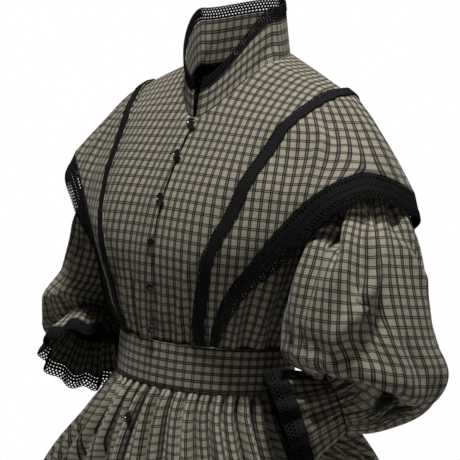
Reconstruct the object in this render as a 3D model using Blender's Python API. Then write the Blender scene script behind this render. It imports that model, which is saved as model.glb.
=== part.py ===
"""Checked day dress with a stand collar, shoulder wings, puffed sleeves and a gathered skirt.

Metres, +Z up, the front faces -Y and the wearer's left is +X. The origin is the middle of the
neck opening at the height of the shoulders, where the wearer's neck and shoulders carry it.
Every panel is a wall of cloth: its outer face is a surface worked out from tables of sizes, and
its inner face lies one cloth thickness inside it.
"""

import math

import bmesh
import bpy
import numpy as np

# Cloth and making.
CLOTH = 0.0014
THIN_CLOTH = 0.0012
BAND_CLOTH = 0.0028
COLLAR_CLOTH = 0.0022
LACE = 0.0010
SEAM_GAP = 0.0003
STEP = 1e-4

# Heights of the main lines, from the origin.
WAIST_TOP = -0.365
BODICE_END = -0.3646
WAIST_LOW = -0.420
HEM = -1.420

# Waist ring: half its width, and how far it reaches in front of and behind the side seams.
WAIST_HALF = 0.117
WAIST_FRONT = 0.128
WAIST_BACK = 0.079
BAND_EASE = 0.0005

# Neck ring, where the stand collar is sewn on.
NECK_HALF = 0.060
NECK_MIDDLE = -0.008
NECK_DEPTH = 0.080
NECK_FRONT_LEVEL = -0.088
NECK_SIDE_LEVEL = -0.004
NECK_BACK_LEVEL = 0.020
NECK_START = 3
NECK_SEAM = 125
NECK_POINT = 0.22
NECK_CROWD = 1.3

# Buttons down the centre front.
BUTTON_RADIUS = 0.0056
BUTTON_HEIGHT = 0.0042
BUTTON_LEVELS = (-0.095, -0.135, -0.189, -0.243, -0.297, -0.350, -0.458)
BUTTON_SHANK = 0.0007

# Front edge: the right front laps over the left one.
LAP_UNDER = -0.009
LAP_OVER = 0.005
LAP_RAMP = 0.042
LAP_RISE = CLOTH + 0.0017

# One row of the half front: part of the way up, the inner end at the centre front (from the neck
# pit upward the neckline takes its place), the outer end (side seam or armhole), and how round
# the row is between them (1 a quarter ellipse, 0 straight).
PANEL_COLUMNS = ("up", "in_y", "in_z", "out_x", "out_y", "out_z", "round")
FRONT_ROWS = (
    (0.00, -0.128, BODICE_END, 0.117, 0.000, BODICE_END, 1.00),
    (0.18, -0.138, -0.315, 0.131, 0.000, -0.315, 1.00),
    (0.37, -0.146, -0.252, 0.151, -0.001, -0.257, 1.00),
    (0.50, -0.139, -0.200, 0.160, -0.004, -0.205, 0.97),
    (0.62, -0.124, -0.158, 0.158, -0.044, -0.158, 0.85),
    (0.74, -0.100, -0.110, 0.158, -0.050, -0.112, 0.75),
    (0.80, -0.088, -0.088, 0.162, -0.046, -0.092, 0.70),
    (0.90, -0.060, -0.050, 0.175, -0.022, -0.068, 0.40),
    (1.00, 0.038, 0.009, 0.183, 0.006, -0.052, 0.12),
)
NECK_PIT = 0.80
# Of a front's or back's rows, the part that lies below the neck pit.
ROWS_BELOW = 8 / 13

# The same for the half back, from the centre back.
BACK_ROWS = (
    (0.00, 0.079, BODICE_END, 0.117, 0.000, BODICE_END, 1.00),
    (0.18, 0.086, -0.315, 0.131, 0.000, -0.315, 1.00),
    (0.37, 0.098, -0.252, 0.151, 0.001, -0.257, 1.00),
    (0.50, 0.105, -0.195, 0.160, 0.004, -0.205, 0.97),
    (0.62, 0.106, -0.140, 0.165, 0.050, -0.155, 0.80),
    (0.74, 0.100, -0.080, 0.167, 0.058, -0.110, 0.65),
    (0.82, 0.085, -0.025, 0.171, 0.048, -0.088, 0.50),
    (0.88, 0.072, 0.020, 0.175, 0.036, -0.072, 0.30),
    (1.00, 0.038, 0.009, 0.183, 0.006, -0.052, 0.12),
)
NAPE = 0.88
UNDERARM = 0.50

# Bust: how far each side of the front swells, and where.
BUST_SWELL = 0.022
BUST_X = 0.090
BUST_LEVEL = -0.205
BUST_WIDE = 0.055
BUST_HIGH = 0.095
BUST_FALL = 0.140

# How much of each panel is left off at its side and shoulder seams.
SIDE_TRIM = 0.0016
SHOULDER_TRIM = 0.0100

# Folds eased into the waist seam of the bodice.
WAIST_FOLDS = 11
WAIST_FOLD_DEPTH = 0.0016
WAIST_FOLD_REACH = 0.45

# The wing: one row for each station from the front waist over the shoulder to the back waist. Panel
# is 0 on the front and 1 on the back; up and across place the seam on that panel; the last three
# columns are the wing's free edge.
WING_COLUMNS = ("at", "panel", "up", "across", "edge_x", "edge_y", "edge_z")
WING_ROWS = (
    (0.000, 0, 0.010, 0.290, 0.0710, -0.1060, -0.3620),
    (0.061, 0, 0.171, 0.300, 0.0840, -0.1190, -0.3250),
    (0.100, 0, 0.264, 0.315, 0.1000, -0.1210, -0.2900),
    (0.143, 0, 0.364, 0.330, 0.1220, -0.1160, -0.2570),
    (0.224, 0, 0.517, 0.407, 0.1580, -0.1060, -0.2040),
    (0.291, 0, 0.647, 0.483, 0.1890, -0.0950, -0.1670),
    (0.357, 0, 0.756, 0.560, 0.2140, -0.0820, -0.1460),
    (0.424, 0, 0.871, 0.590, 0.2370, -0.0590, -0.1340),
    (0.470, 0, 0.940, 0.660, 0.2500, -0.0330, -0.1380),
    (0.510, 0, 0.999, 0.765, 0.2570, -0.0030, -0.1470),
    (0.543, 1, 0.940, 0.785, 0.2550, 0.0240, -0.1520),
    (0.586, 1, 0.857, 0.755, 0.2440, 0.0500, -0.1580),
    (0.648, 1, 0.735, 0.642, 0.2200, 0.0820, -0.1700),
    (0.730, 1, 0.596, 0.465, 0.1800, 0.1070, -0.2130),
    (0.810, 1, 0.456, 0.345, 0.1400, 0.1150, -0.2580),
    (0.900, 1, 0.267, 0.297, 0.1020, 0.0960, -0.3100),
    (0.948, 1, 0.155, 0.287, 0.0880, 0.0790, -0.3350),
    (1.000, 1, 0.010, 0.280, 0.0750, 0.0665, -0.3620),
)
WING_TOP = 0.51
WING_LIFT = CLOTH + 0.0016
WING_RISE = 0.0046
WING_RISE_SPAN = 0.070
WING_CURL = 0.44
RIGHT_EDGE_IN = 0.011
RIGHT_EDGE_DROP = 0.010
SEAM_LACE_WIDTH = 0.019
EDGE_LACE_WIDTH = 0.031
EDGE_LACE_DROOP = 0.80
LACE_INSET = 0.0016
LACE_CLEARANCE = 0.0012

# A sleeve's sections, along the arm from the armhole to the elastic: the centre, the way the arm
# runs, and the reach to the outer side, the body side, the front and the back.
SLEEVE_COLUMNS = ("along", "x", "y", "z", "run_x", "run_y", "run_z", "outer", "body", "front", "back")
LEFT_SLEEVE = (
    (0.00, 0.172, 0.002, -0.127, 1.00, 0.00, -0.15, 0.074, 0.074, 0.054, 0.054),
    (0.10, 0.190, -0.002, -0.148, 0.90, 0.00, -0.45, 0.054, 0.062, 0.052, 0.058),
    (0.20, 0.206, -0.008, -0.180, 0.50, -0.02, -0.86, 0.046, 0.044, 0.052, 0.060),
    (0.33, 0.222, -0.021, -0.225, 0.15, -0.04, -1.00, 0.060, 0.054, 0.084, 0.066),
    (0.46, 0.227, -0.026, -0.272, 0.04, -0.04, -1.00, 0.074, 0.073, 0.094, 0.074),
    (0.59, 0.230, -0.023, -0.316, 0.02, -0.04, -1.00, 0.086, 0.086, 0.098, 0.082),
    (0.70, 0.237, -0.014, -0.350, -0.04, -0.08, -1.00, 0.094, 0.086, 0.094, 0.084),
    (0.80, 0.242, -0.010, -0.376, -0.26, -0.30, -0.92, 0.078, 0.074, 0.078, 0.074),
    (0.90, 0.234, -0.014, -0.394, -0.56, -0.52, -0.65, 0.053, 0.052, 0.056, 0.056),
    (0.95, 0.224, -0.022, -0.403, -0.65, -0.60, -0.47, 0.044, 0.042, 0.044, 0.046),
    (1.00, 0.212, -0.032, -0.411, -0.68, -0.62, -0.39, 0.036, 0.034, 0.035, 0.036),
)
RIGHT_SLEEVE = (
    (0.00, -0.172, 0.002, -0.127, -1.00, 0.00, -0.15, 0.074, 0.074, 0.054, 0.054),
    (0.10, -0.187, 0.002, -0.148, -0.90, 0.02, -0.45, 0.053, 0.060, 0.052, 0.058),
    (0.20, -0.198, 0.008, -0.180, -0.50, 0.06, -0.87, 0.040, 0.040, 0.048, 0.062),
    (0.33, -0.205, 0.014, -0.226, -0.15, 0.04, -1.00, 0.047, 0.037, 0.050, 0.078),
    (0.46, -0.212, 0.019, -0.272, -0.08, 0.00, -1.00, 0.054, 0.054, 0.052, 0.086),
    (0.59, -0.224, 0.019, -0.320, -0.04, -0.06, -1.00, 0.060, 0.070, 0.060, 0.088),
    (0.70, -0.238, 0.012, -0.370, 0.10, -0.30, -0.95, 0.080, 0.074, 0.065, 0.084),
    (0.80, -0.240, 0.010, -0.397, 0.26, -0.48, -0.84, 0.080, 0.056, 0.048, 0.078),
    (0.90, -0.227, 0.004, -0.406, 0.36, -0.58, -0.73, 0.064, 0.044, 0.041, 0.060),
    (0.95, -0.216, -0.006, -0.400, 0.42, -0.64, -0.64, 0.049, 0.039, 0.038, 0.047),
    (1.00, -0.206, -0.017, -0.390, 0.45, -0.68, -0.58, 0.036, 0.034, 0.035, 0.036),
)
SLEEVE_BLEND = 0.16
ARMHOLE_GAP = 0.0016
HEAD_DROP = 0.0040
HEAD_FOLDS = 10
HEAD_FOLD_DEPTH = 0.0050
CUFF_FOLDS = 20
CUFF_FOLD_DEPTH = 0.0022
# The part of the way round that each half of a sleeve leaves free at its seams.
SLEEVE_SEAM = 0.0006

# The frill past the elastic: the reach at its end, its length, its waves and its edging of lace.
FRILL_GAP = 0.0018
FRILL_LENGTH = 0.046
FRILL_REACH = 0.050
FRILL_WAVE = 0.0050
FRILL_WAVES = 10
FRILL_EASE = 0.020
ELASTIC_REACH = 0.0352
CUFF_LACE_LENGTH = 0.024
CUFF_LACE_REACH = 0.053

# Skirt sections: height, half width, and reach in front and behind.
SKIRT_COLUMNS = ("down", "z", "half", "front", "back")
SKIRT_ROWS = (
    (0.00, WAIST_LOW - 3 * SEAM_GAP, 0.118, 0.129, 0.080),
    (0.16, -0.442, 0.124, 0.141, 0.141),
    (0.33, -0.485, 0.150, 0.157, 0.246),
    (0.50, -0.570, 0.218, 0.174, 0.305),
    (0.67, -0.740, 0.282, 0.240, 0.378),
    (0.84, -1.020, 0.365, 0.330, 0.448),
    (1.00, HEM, 0.445, 0.415, 0.515),
)
# Gathers of the whole skirt and how deep each set of folds is at each height.
GATHERS = 48
BIG_FOLDS = 24
HEM_FOLDS = 13
FOLD_COLUMNS = ("down", "gather", "big", "hem")
FOLD_ROWS = (
    (0.00, 0.0026, 0.0000, 0.000),
    (0.16, 0.0050, 0.0020, 0.000),
    (0.33, 0.0060, 0.0060, 0.002),
    (0.50, 0.0040, 0.0100, 0.006),
    (0.67, 0.0010, 0.0120, 0.013),
    (0.84, 0.0000, 0.0110, 0.022),
    (1.00, 0.0000, 0.0100, 0.030),
)

# Collar: height at the front ends and at the back, and how far its top leans in.
COLLAR_HEIGHT = 0.047
COLLAR_FRONT_HEIGHT = 0.031
COLLAR_OPENING = 4.0
COLLAR_LACE_HEIGHT = 0.014
COLLAR_RISE = 0.0026
LEAN_COLUMNS = ("at", "lean")
LEAN_ROWS = (
    (0.00, 0.003),
    (0.15, 0.008),
    (0.35, 0.010),
    (0.55, 0.007),
    (0.67, 0.003),
    (0.78, -0.005),
    (0.88, -0.006),
    (1.00, -0.002),
)


def remove_startup_objects():
    for thing in list(bpy.data.objects):
        bpy.data.objects.remove(thing)


def column(columns, rows, name):
    return np.array([row[columns.index(name)] for row in rows], float)


def smooth(places, values, where):
    """A curve with no overshoot through values at places, read at where."""
    span = np.diff(places)
    slope = np.diff(values) / span
    lean = np.zeros(len(values))
    same = slope[:-1] * slope[1:] > 0
    mean = 2 * slope[:-1] * slope[1:] / np.where(same, slope[:-1] + slope[1:], 1)
    lean[1:-1] = np.where(same, mean, 0)
    lean[0], lean[-1] = slope[0], slope[-1]
    at = np.clip(np.searchsorted(places, where) - 1, 0, len(span) - 1)
    t = np.clip((where - places[at]) / span[at], 0, 1)
    start, end = values[at], values[at + 1]
    return (
        start * (1 + 2 * t) * (1 - t) ** 2
        + end * t * t * (3 - 2 * t)
        + span[at] * (lean[at] * t * (1 - t) ** 2 - lean[at + 1] * t * t * (1 - t))
    )


def read(columns, rows, name, where):
    return smooth(column(columns, rows, columns[0]), column(columns, rows, name), where)


def ease(start, end, value):
    t = np.clip((value - start) / (end - start), 0, 1)
    return t * t * (3 - 2 * t)


def stack(x, y, z):
    return np.stack(np.broadcast_arrays(x, y, z), -1).astype(float)


def unit(vectors):
    return vectors / np.maximum(np.linalg.norm(vectors, axis=-1, keepdims=True), 1e-12)


def normals(form, u, v):
    """Which way form's surface faces: the side from which u runs left to right and v runs up."""
    before_u, after_u = np.maximum(u - STEP, 0), np.minimum(u + STEP, 1)
    before_v, after_v = np.maximum(v - STEP, 0), np.minimum(v + STEP, 1)
    along_u = form(after_u, v) - form(before_u, v)
    along_v = form(u, after_v) - form(u, before_v)
    return unit(np.cross(along_u, along_v))


def raised(form, height):
    """The same surface moved out by height."""
    return lambda u, v: form(u, v) + height * normals(form, u, v)


def neck_ring(angle):
    """The neckline, from the centre front (angle 0) round the wearer's left side."""
    forward = np.cos(angle)
    front_drop = (NECK_SIDE_LEVEL - NECK_FRONT_LEVEL) * np.clip(forward, 0, 1) ** 1.5
    back_rise = (NECK_BACK_LEVEL - NECK_SIDE_LEVEL) * np.clip(-forward, 0, 1) ** 1.2
    level = NECK_SIDE_LEVEL - front_drop + back_rise
    x = NECK_HALF * np.sin(angle) * (1 - NECK_POINT * np.clip(forward, 0, 1))
    return stack(x, NECK_MIDDLE - NECK_DEPTH * forward, level)


def half_panel(rows, u, v):
    """A point of the half front or half back, before its folds."""
    value = {name: read(PANEL_COLUMNS, rows, name, v) for name in PANEL_COLUMNS[1:]}
    start, begin = (NECK_PIT, NECK_START) if rows is FRONT_ROWS else (NAPE, 180 - NECK_START)
    share = np.clip((v - start) / (1 - start), 0, 1) ** NECK_CROWD
    neckline = neck_ring(np.radians(begin + (NECK_SEAM - begin) * share))
    middle = stack(0 * v, value["in_y"], value["in_z"])
    inner = np.where((v > start)[..., None], neckline, middle)
    outer = stack(value["out_x"], value["out_y"], value["out_z"])
    quarter = u * math.pi / 2
    over = value["round"] * np.sin(quarter) + (1 - value["round"]) * u
    back = value["round"] * (1 - np.cos(quarter)) + (1 - value["round"]) * u
    return inner + (outer - inner) * np.stack([over, back, u], -1)


def waist_folds(u, v):
    fade = 1 - ease(0, WAIST_FOLD_REACH, v)
    inside = ease(0.0, 0.12, u) * (1 - ease(0.9, 1.0, u))
    return WAIST_FOLD_DEPTH * fade * inside * np.cos(2 * math.pi * WAIST_FOLDS * u)


def front_half(u, v):
    """The left front from the centre (u 0) to the side seam or armhole (u 1), waist (v 0) up."""
    point = half_panel(FRONT_ROWS, u, v)
    off_x = (point[..., 0] - BUST_X) / BUST_WIDE
    above = point[..., 2] - BUST_LEVEL
    off_z = above / np.where(above > 0, BUST_HIGH, BUST_FALL)
    swell = BUST_SWELL * np.exp(-(off_x**2) - off_z**2)
    fade = ease(-0.02, 0.13, v) * (1 - ease(0.8, 1.0, u))
    point[..., 1] -= swell * fade + waist_folds(u, v)
    return point


def back_half(u, v):
    point = half_panel(BACK_ROWS, u, v)
    point[..., 1] += waist_folds(u, v)
    return point


def panel_row(v):
    """How far up the panel a row lies: rows are closer together above the neck pit."""
    below = v * NECK_PIT / ROWS_BELOW
    above = NECK_PIT + (v - ROWS_BELOW) * (1 - NECK_PIT) / (1 - ROWS_BELOW)
    return np.where(v < ROWS_BELOW, below, above)


def mirrored(points, side):
    """Side 1 is the wearer's left, as modelled, and -1 the wearer's right."""
    return points * np.array([side, 1, 1])


def front_panel(side):
    """A front with its lap: u runs from the wearer's right to left, so that it faces forward."""

    def form(u, v):
        across = (u if side > 0 else 1 - u) * (1 - SIDE_TRIM)
        up = panel_row(v)
        point = front_half(across, up - SHOULDER_TRIM * up**12)
        edge = LAP_UNDER if side > 0 else -LAP_OVER
        lap = (1 - across) ** 6 * (1 - ease(0.78, 0.86, up))
        point[..., 0] += edge * lap
        if side < 0:
            rise = 1 - ease(-LAP_UNDER, LAP_RAMP, point[..., 0])
            point[..., 1] -= LAP_RISE * rise * (1 - ease(0.78, 0.86, up))
        return mirrored(point, side)

    return form


def back_panel(u, v):
    """The whole back, u from the wearer's left to right, so that it faces backward."""
    across = (1 - 2 * u) * (1 - SIDE_TRIM)
    up = panel_row(v)
    point = back_half(np.abs(across), up - SHOULDER_TRIM / 2 * up**12)
    point[..., 0] *= np.sign(across) + (across == 0)
    return point


def wing_seam(at, side):
    """The wing's seam on the bodice, and the direction along the bodice away from the neck."""
    up = read(WING_COLUMNS, WING_ROWS, "up", at)
    across = read(WING_COLUMNS, WING_ROWS, "across", at)
    share = ease(WING_TOP - 0.015, WING_TOP + 0.015, at)[..., None]
    front, back = front_half(across, up), back_half(across, up)
    out_front = normals(front_half, across, up)
    out_back = -normals(back_half, across, up)
    tangent_front = unit(front_half(across + STEP, up) - front)
    tangent_back = unit(back_half(across + STEP, up) - back)
    point = front * (1 - share) + back * share
    out = unit(out_front * (1 - share) + out_back * share)
    tangent = unit(tangent_front * (1 - share) + tangent_back * share)
    rise = WING_RISE * np.exp(-(((at - WING_TOP) / WING_RISE_SPAN) ** 2))
    lifted = point + (WING_LIFT + rise)[..., None] * out
    return mirrored(lifted, side), mirrored(tangent, side)


def wing(side):
    """A wing: u runs from the front waist over the shoulder to the back waist on the left side."""

    def form(u, v):
        at, out = (u, v) if side > 0 else (1 - u, v)
        seam, tangent = wing_seam(at, side)
        edge = stack(*(read(WING_COLUMNS, WING_ROWS, name, at) for name in WING_COLUMNS[4:]))
        edge = mirrored(edge, side)
        if side < 0:
            hang = ease(0.15, 0.36, at) * (1 - ease(0.5, 0.7, at))
            edge = edge + stack(RIGHT_EDGE_IN * hang, 0 * at, -RIGHT_EDGE_DROP * hang)
        length = np.linalg.norm(edge - seam, axis=-1, keepdims=True)
        bend = seam + tangent * length * WING_CURL
        t = out[..., None]
        return (1 - t) ** 2 * seam + 2 * t * (1 - t) * bend + t * t * edge

    return form


def wing_turned(side):
    """The wing with its rows running outward, so that its face is its outside."""
    form = wing(side)
    return lambda u, v: form(1 - u, v)


def seam_lace(side):
    """Lace laid on the wing along its seam."""
    form = wing_turned(side)

    def strip(u, v):
        across = np.linalg.norm(form(u, np.ones_like(u)) - form(u, np.zeros_like(u)), axis=-1)
        return form(u, v * SEAM_LACE_WIDTH / np.maximum(across, SEAM_LACE_WIDTH))

    return raised(strip, LACE + LACE_CLEARANCE)


def edge_lace(side):
    """Lace that hangs on from the wing's free edge."""
    form = wing_turned(side)

    def strip(u, v):
        edge = form(u, np.ones_like(u))
        onward = unit(edge - form(u, np.full_like(u, 0.9)))
        away = ease(0, 0.25, u) * (1 - ease(0.75, 1, u))
        fall = unit(onward - stack(0 * u, 0 * u, EDGE_LACE_DROOP * away - 0.1 * (1 - away)))
        narrow = 0.40 + 0.60 * ease(0, 0.2, u) * (1 - ease(0.8, 1, u))
        reach = LACE_INSET + v * EDGE_LACE_WIDTH * narrow
        return edge + fall * reach[..., None]

    return strip


def sleeve_rows(side):
    return LEFT_SLEEVE if side > 0 else RIGHT_SLEEVE


def sleeve_frame(side, along):
    """At each place along the arm: the centre, the outward and the forward directions."""
    rows = sleeve_rows(side)
    marks = np.linspace(0, 1, 81)
    centre = stack(*(read(SLEEVE_COLUMNS, rows, name, along) for name in ("x", "y", "z")))
    run = unit(stack(*(read(SLEEVE_COLUMNS, rows, n, marks) for n in ("run_x", "run_y", "run_z"))))
    outward = np.zeros_like(run)
    current = np.array([0.0, 0.0, 1.0])
    for i, way in enumerate(run):
        current = current - way * (current @ way)
        current = current / np.linalg.norm(current)
        outward[i] = current
    forward = np.cross(run, outward) * side
    turn = [stack(*(np.interp(along, marks, w[:, k]) for k in range(3))) for w in (outward, forward)]
    return centre, unit(turn[0]), unit(turn[1])


def armhole(side, u):
    """The loop of the armhole: the underarm at u 0, the front at 0.25 and the shoulder at 0.5."""
    up = UNDERARM + (1 - UNDERARM) * (1 - np.abs(1 - 2 * u))
    ones = np.ones_like(u)
    front, back = half_panel(FRONT_ROWS, ones, up), half_panel(BACK_ROWS, ones, up)
    point = np.where((u < 0.5)[..., None], front, back)
    drop = HEAD_DROP * (1 - np.abs(1 - 2 * u)) ** 4
    return mirrored(point + stack(ARMHOLE_GAP + 0 * u, 0 * u, -drop), side)


def sleeve_ring(side, u, along, wave=0.0):
    """A point on the sleeve's section at along, with its radius changed by wave."""
    rows = sleeve_rows(side)
    centre, outward, forward = sleeve_frame(side, along)
    angle = 2 * math.pi * u
    out, front = -np.cos(angle), np.sin(angle)
    far, near = read(SLEEVE_COLUMNS, rows, "outer", along), read(SLEEVE_COLUMNS, rows, "body", along)
    fore, aft = read(SLEEVE_COLUMNS, rows, "front", along), read(SLEEVE_COLUMNS, rows, "back", along)
    out = out * (np.where(out > 0, far, near) + wave)
    front = front * (np.where(front > 0, fore, aft) + wave)
    return centre + out[..., None] * outward + front[..., None] * forward


def sleeve(side):
    """A sleeve from the armhole (v 0) to the elastic (v 1)."""

    def form(u, v):
        around = 1 - u if side > 0 else u
        head = ease(0.16, 0.30, v) * (1 - ease(0.35, 0.80, v))
        top = 0.35 + 0.65 * ease(0.15, 0.4, around) * (1 - ease(0.7, 0.95, around))
        head_wave = HEAD_FOLD_DEPTH * head * top * np.cos(2 * math.pi * HEAD_FOLDS * around)
        cuff = ease(0.7, 0.97, v)
        cuff_wave = CUFF_FOLD_DEPTH * cuff * np.cos(2 * math.pi * CUFF_FOLDS * around)
        ring = sleeve_ring(side, around, v, head_wave + cuff_wave)
        share = ease(0, SLEEVE_BLEND, v)[..., None]
        return armhole(side, around) * (1 - share) + ring * share

    return form


def sleeve_turned(side):
    """The sleeve with u starting at its seam: the top sleeve comes first, then the under sleeve."""
    form = sleeve(side)
    return lambda u, v: form((u + 0.25) % 1, v)


def frill(side, start, length, reach, waves):
    """A flared tube round the forearm, from start metres past the elastic and length long.

    Reach and waves are pairs, at its start and at its end: the radius, and the depth of its waves.
    """

    def form(u, v):
        around = 1 - u if side > 0 else u
        centre, outward, forward = sleeve_frame(side, np.ones_like(around))
        run = np.cross(outward, forward) * side
        angle = 2 * math.pi * around
        past = start + length * v
        small = np.cos(CUFF_FOLDS * angle) * CUFF_FOLD_DEPTH * (1 - np.clip(past / FRILL_EASE, 0, 1))
        wide = np.cos(FRILL_WAVES * angle) * (waves[0] + (waves[1] - waves[0]) * v)
        radius = reach[0] + (reach[1] - reach[0]) * v + small + wide
        middle = centre + run * past[..., None]
        out, front = -np.cos(angle) * radius, np.sin(angle) * radius
        return middle + out[..., None] * outward + front[..., None] * forward

    return form


def waist_ring(angle, half, front, back):
    """A point of a ring round the body, by its angle from the centre front to the wearer's left."""
    depth = np.where(np.cos(angle) > 0, front, back)
    return half * np.sin(angle), -depth * np.cos(angle)


def band(u, v):
    x, y = waist_ring(2 * math.pi * u, WAIST_HALF, WAIST_FRONT, WAIST_BACK)
    out = unit(stack(x, y, 0 * u))
    z = WAIST_LOW + (WAIST_TOP - WAIST_LOW) * v
    return stack(x, y, z) + out * (BAND_EASE + BAND_CLOTH)


def skirt(u, v):
    """The skirt: u once round from the centre front to the wearer's left, v from the hem up."""
    down = 1 - v
    angle = 2 * math.pi * u
    sizes = [read(SKIRT_COLUMNS, SKIRT_ROWS, name, down) for name in ("half", "front", "back")]
    x, y = waist_ring(angle, *sizes)
    depths = [read(FOLD_COLUMNS, FOLD_ROWS, name, down) for name in FOLD_COLUMNS[1:]]
    fold = (
        depths[0] * np.cos(GATHERS * angle)
        + depths[1] * np.cos(BIG_FOLDS * angle)
        + depths[2] * np.cos(HEM_FOLDS * angle + 0.6 * np.sin(angle))
    )
    out = unit(stack(x, y, 0 * u))
    z = read(SKIRT_COLUMNS, SKIRT_ROWS, "z", down)
    return stack(x, y, z) + out * fold[..., None]


def collar_sweep(u):
    """The angle round the neck, from one front end of the collar past the back to the other."""
    opening = math.radians(COLLAR_OPENING)
    return opening + (2 * math.pi - 2 * opening) * u


def collar_at(u, height):
    """A point at height up the collar, measured along its cloth."""
    angle = collar_sweep(u)
    base = neck_ring(angle)
    inward = -unit(base * np.array([1, 1, 0]) - np.array([0, NECK_MIDDLE, 0]))
    full = collar_height(u)
    lean = read(LEAN_COLUMNS, LEAN_ROWS, "lean", u)
    share = (height / full)[..., None]
    return base + inward * lean[..., None] * share + stack(0 * u, 0 * u, COLLAR_RISE + height)


def collar_height(u):
    middle = ease(0, 0.22, u) * (1 - ease(0.78, 1, u))
    return COLLAR_FRONT_HEIGHT + (COLLAR_HEIGHT - COLLAR_FRONT_HEIGHT) * middle


def collar(u, v):
    return collar_at(u, v * collar_height(u))


def collar_lace(u, v):
    return collar_at(u, collar_height(u) + SEAM_GAP + v * COLLAR_LACE_HEIGHT)


def cloth_material(name, colour, roughness):
    material = bpy.data.materials.new(name)
    material.use_nodes = True
    shader = material.node_tree.nodes["Principled BSDF"]
    shader.inputs["Base Color"].default_value = (*colour, 1)
    shader.inputs["Roughness"].default_value = roughness
    shader.inputs["Metallic"].default_value = 0.0
    return material


def finish_object(name, bm, material, collection):
    bm.normal_update()
    bmesh.ops.recalc_face_normals(bm, faces=bm.faces)
    mesh = bpy.data.meshes.new(name)
    bm.to_mesh(mesh)
    bm.free()
    mesh.materials.append(material)
    mesh.shade_smooth()
    thing = bpy.data.objects.new(name, mesh)
    collection.objects.link(thing)
    return thing


def cloth_wall(name, form, across, up, thickness, material, collection, between=(0, 1), tube=False):
    """A wall of cloth: a grid laid on form, and a second one a thickness inside it, joined round.

    Between is the stretch of u that this piece covers. A tube closes on itself along u.
    """
    bm = bmesh.new()
    bmesh.ops.create_grid(bm, x_segments=across, y_segments=up, size=0.5)
    spots = np.array([vert.co[:2] for vert in bm.verts]) + 0.5
    u = between[0] + (between[1] - between[0]) * np.clip(spots[:, 0], 0, 1)
    v = np.clip(spots[:, 1], 0, 1)
    outer = form(u, v)
    inner = outer - thickness * normals(form, u, v)
    inside = dict(zip(bm.verts, inner))
    for vert, place in zip(bm.verts, outer):
        vert.co = place
    if tube:
        first = {round(b, 5): vert for vert, a, b in zip(bm.verts, u, v) if a < 1e-5}
        last = {vert: first[round(b, 5)] for vert, a, b in zip(bm.verts, u, v) if a > 1 - 1e-5}
        bmesh.ops.weld_verts(bm, targetmap=last)
    rim = [edge for edge in bm.edges if edge.is_boundary]
    outside = list(bm.verts)
    twin = bmesh.ops.duplicate(bm, geom=outside + bm.edges[:] + bm.faces[:])["vert_map"]
    for vert in outside:
        twin[vert].co = inside[vert]
    for edge in rim:
        a, b = edge.verts
        bm.faces.new((a, b, twin[b], twin[a]))
    return finish_object(name, bm, material, collection)


def button(name, level, form, rows, material, collection):
    """A round domed button, flat to a piece's front edge and off it by a short shank."""
    heights = np.linspace(0, 1, rows + 1)
    line = form(np.zeros_like(heights), heights)
    near = (level, level - BUTTON_RADIUS, level + BUTTON_RADIUS)
    foot, low, high = (np.array([np.interp(z, line[:, 2], line[:, k]) for k in range(3)]) for z in near)
    along = unit(high - low)
    out = unit(np.cross((1, 0, 0), along))
    middle = foot + out * (BUTTON_SHANK + BUTTON_HEIGHT / 2)
    bm = bmesh.new()
    made = bmesh.ops.create_uvsphere(bm, u_segments=12, v_segments=6, radius=BUTTON_RADIUS)
    flat = BUTTON_HEIGHT / (2 * BUTTON_RADIUS)
    for vert in made["verts"]:
        spot = vert.co.copy()
        vert.co = middle + spot.x * np.array([1, 0, 0]) + spot.y * along + spot.z * flat * out
    return finish_object(name, bm, material, collection)


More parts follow.
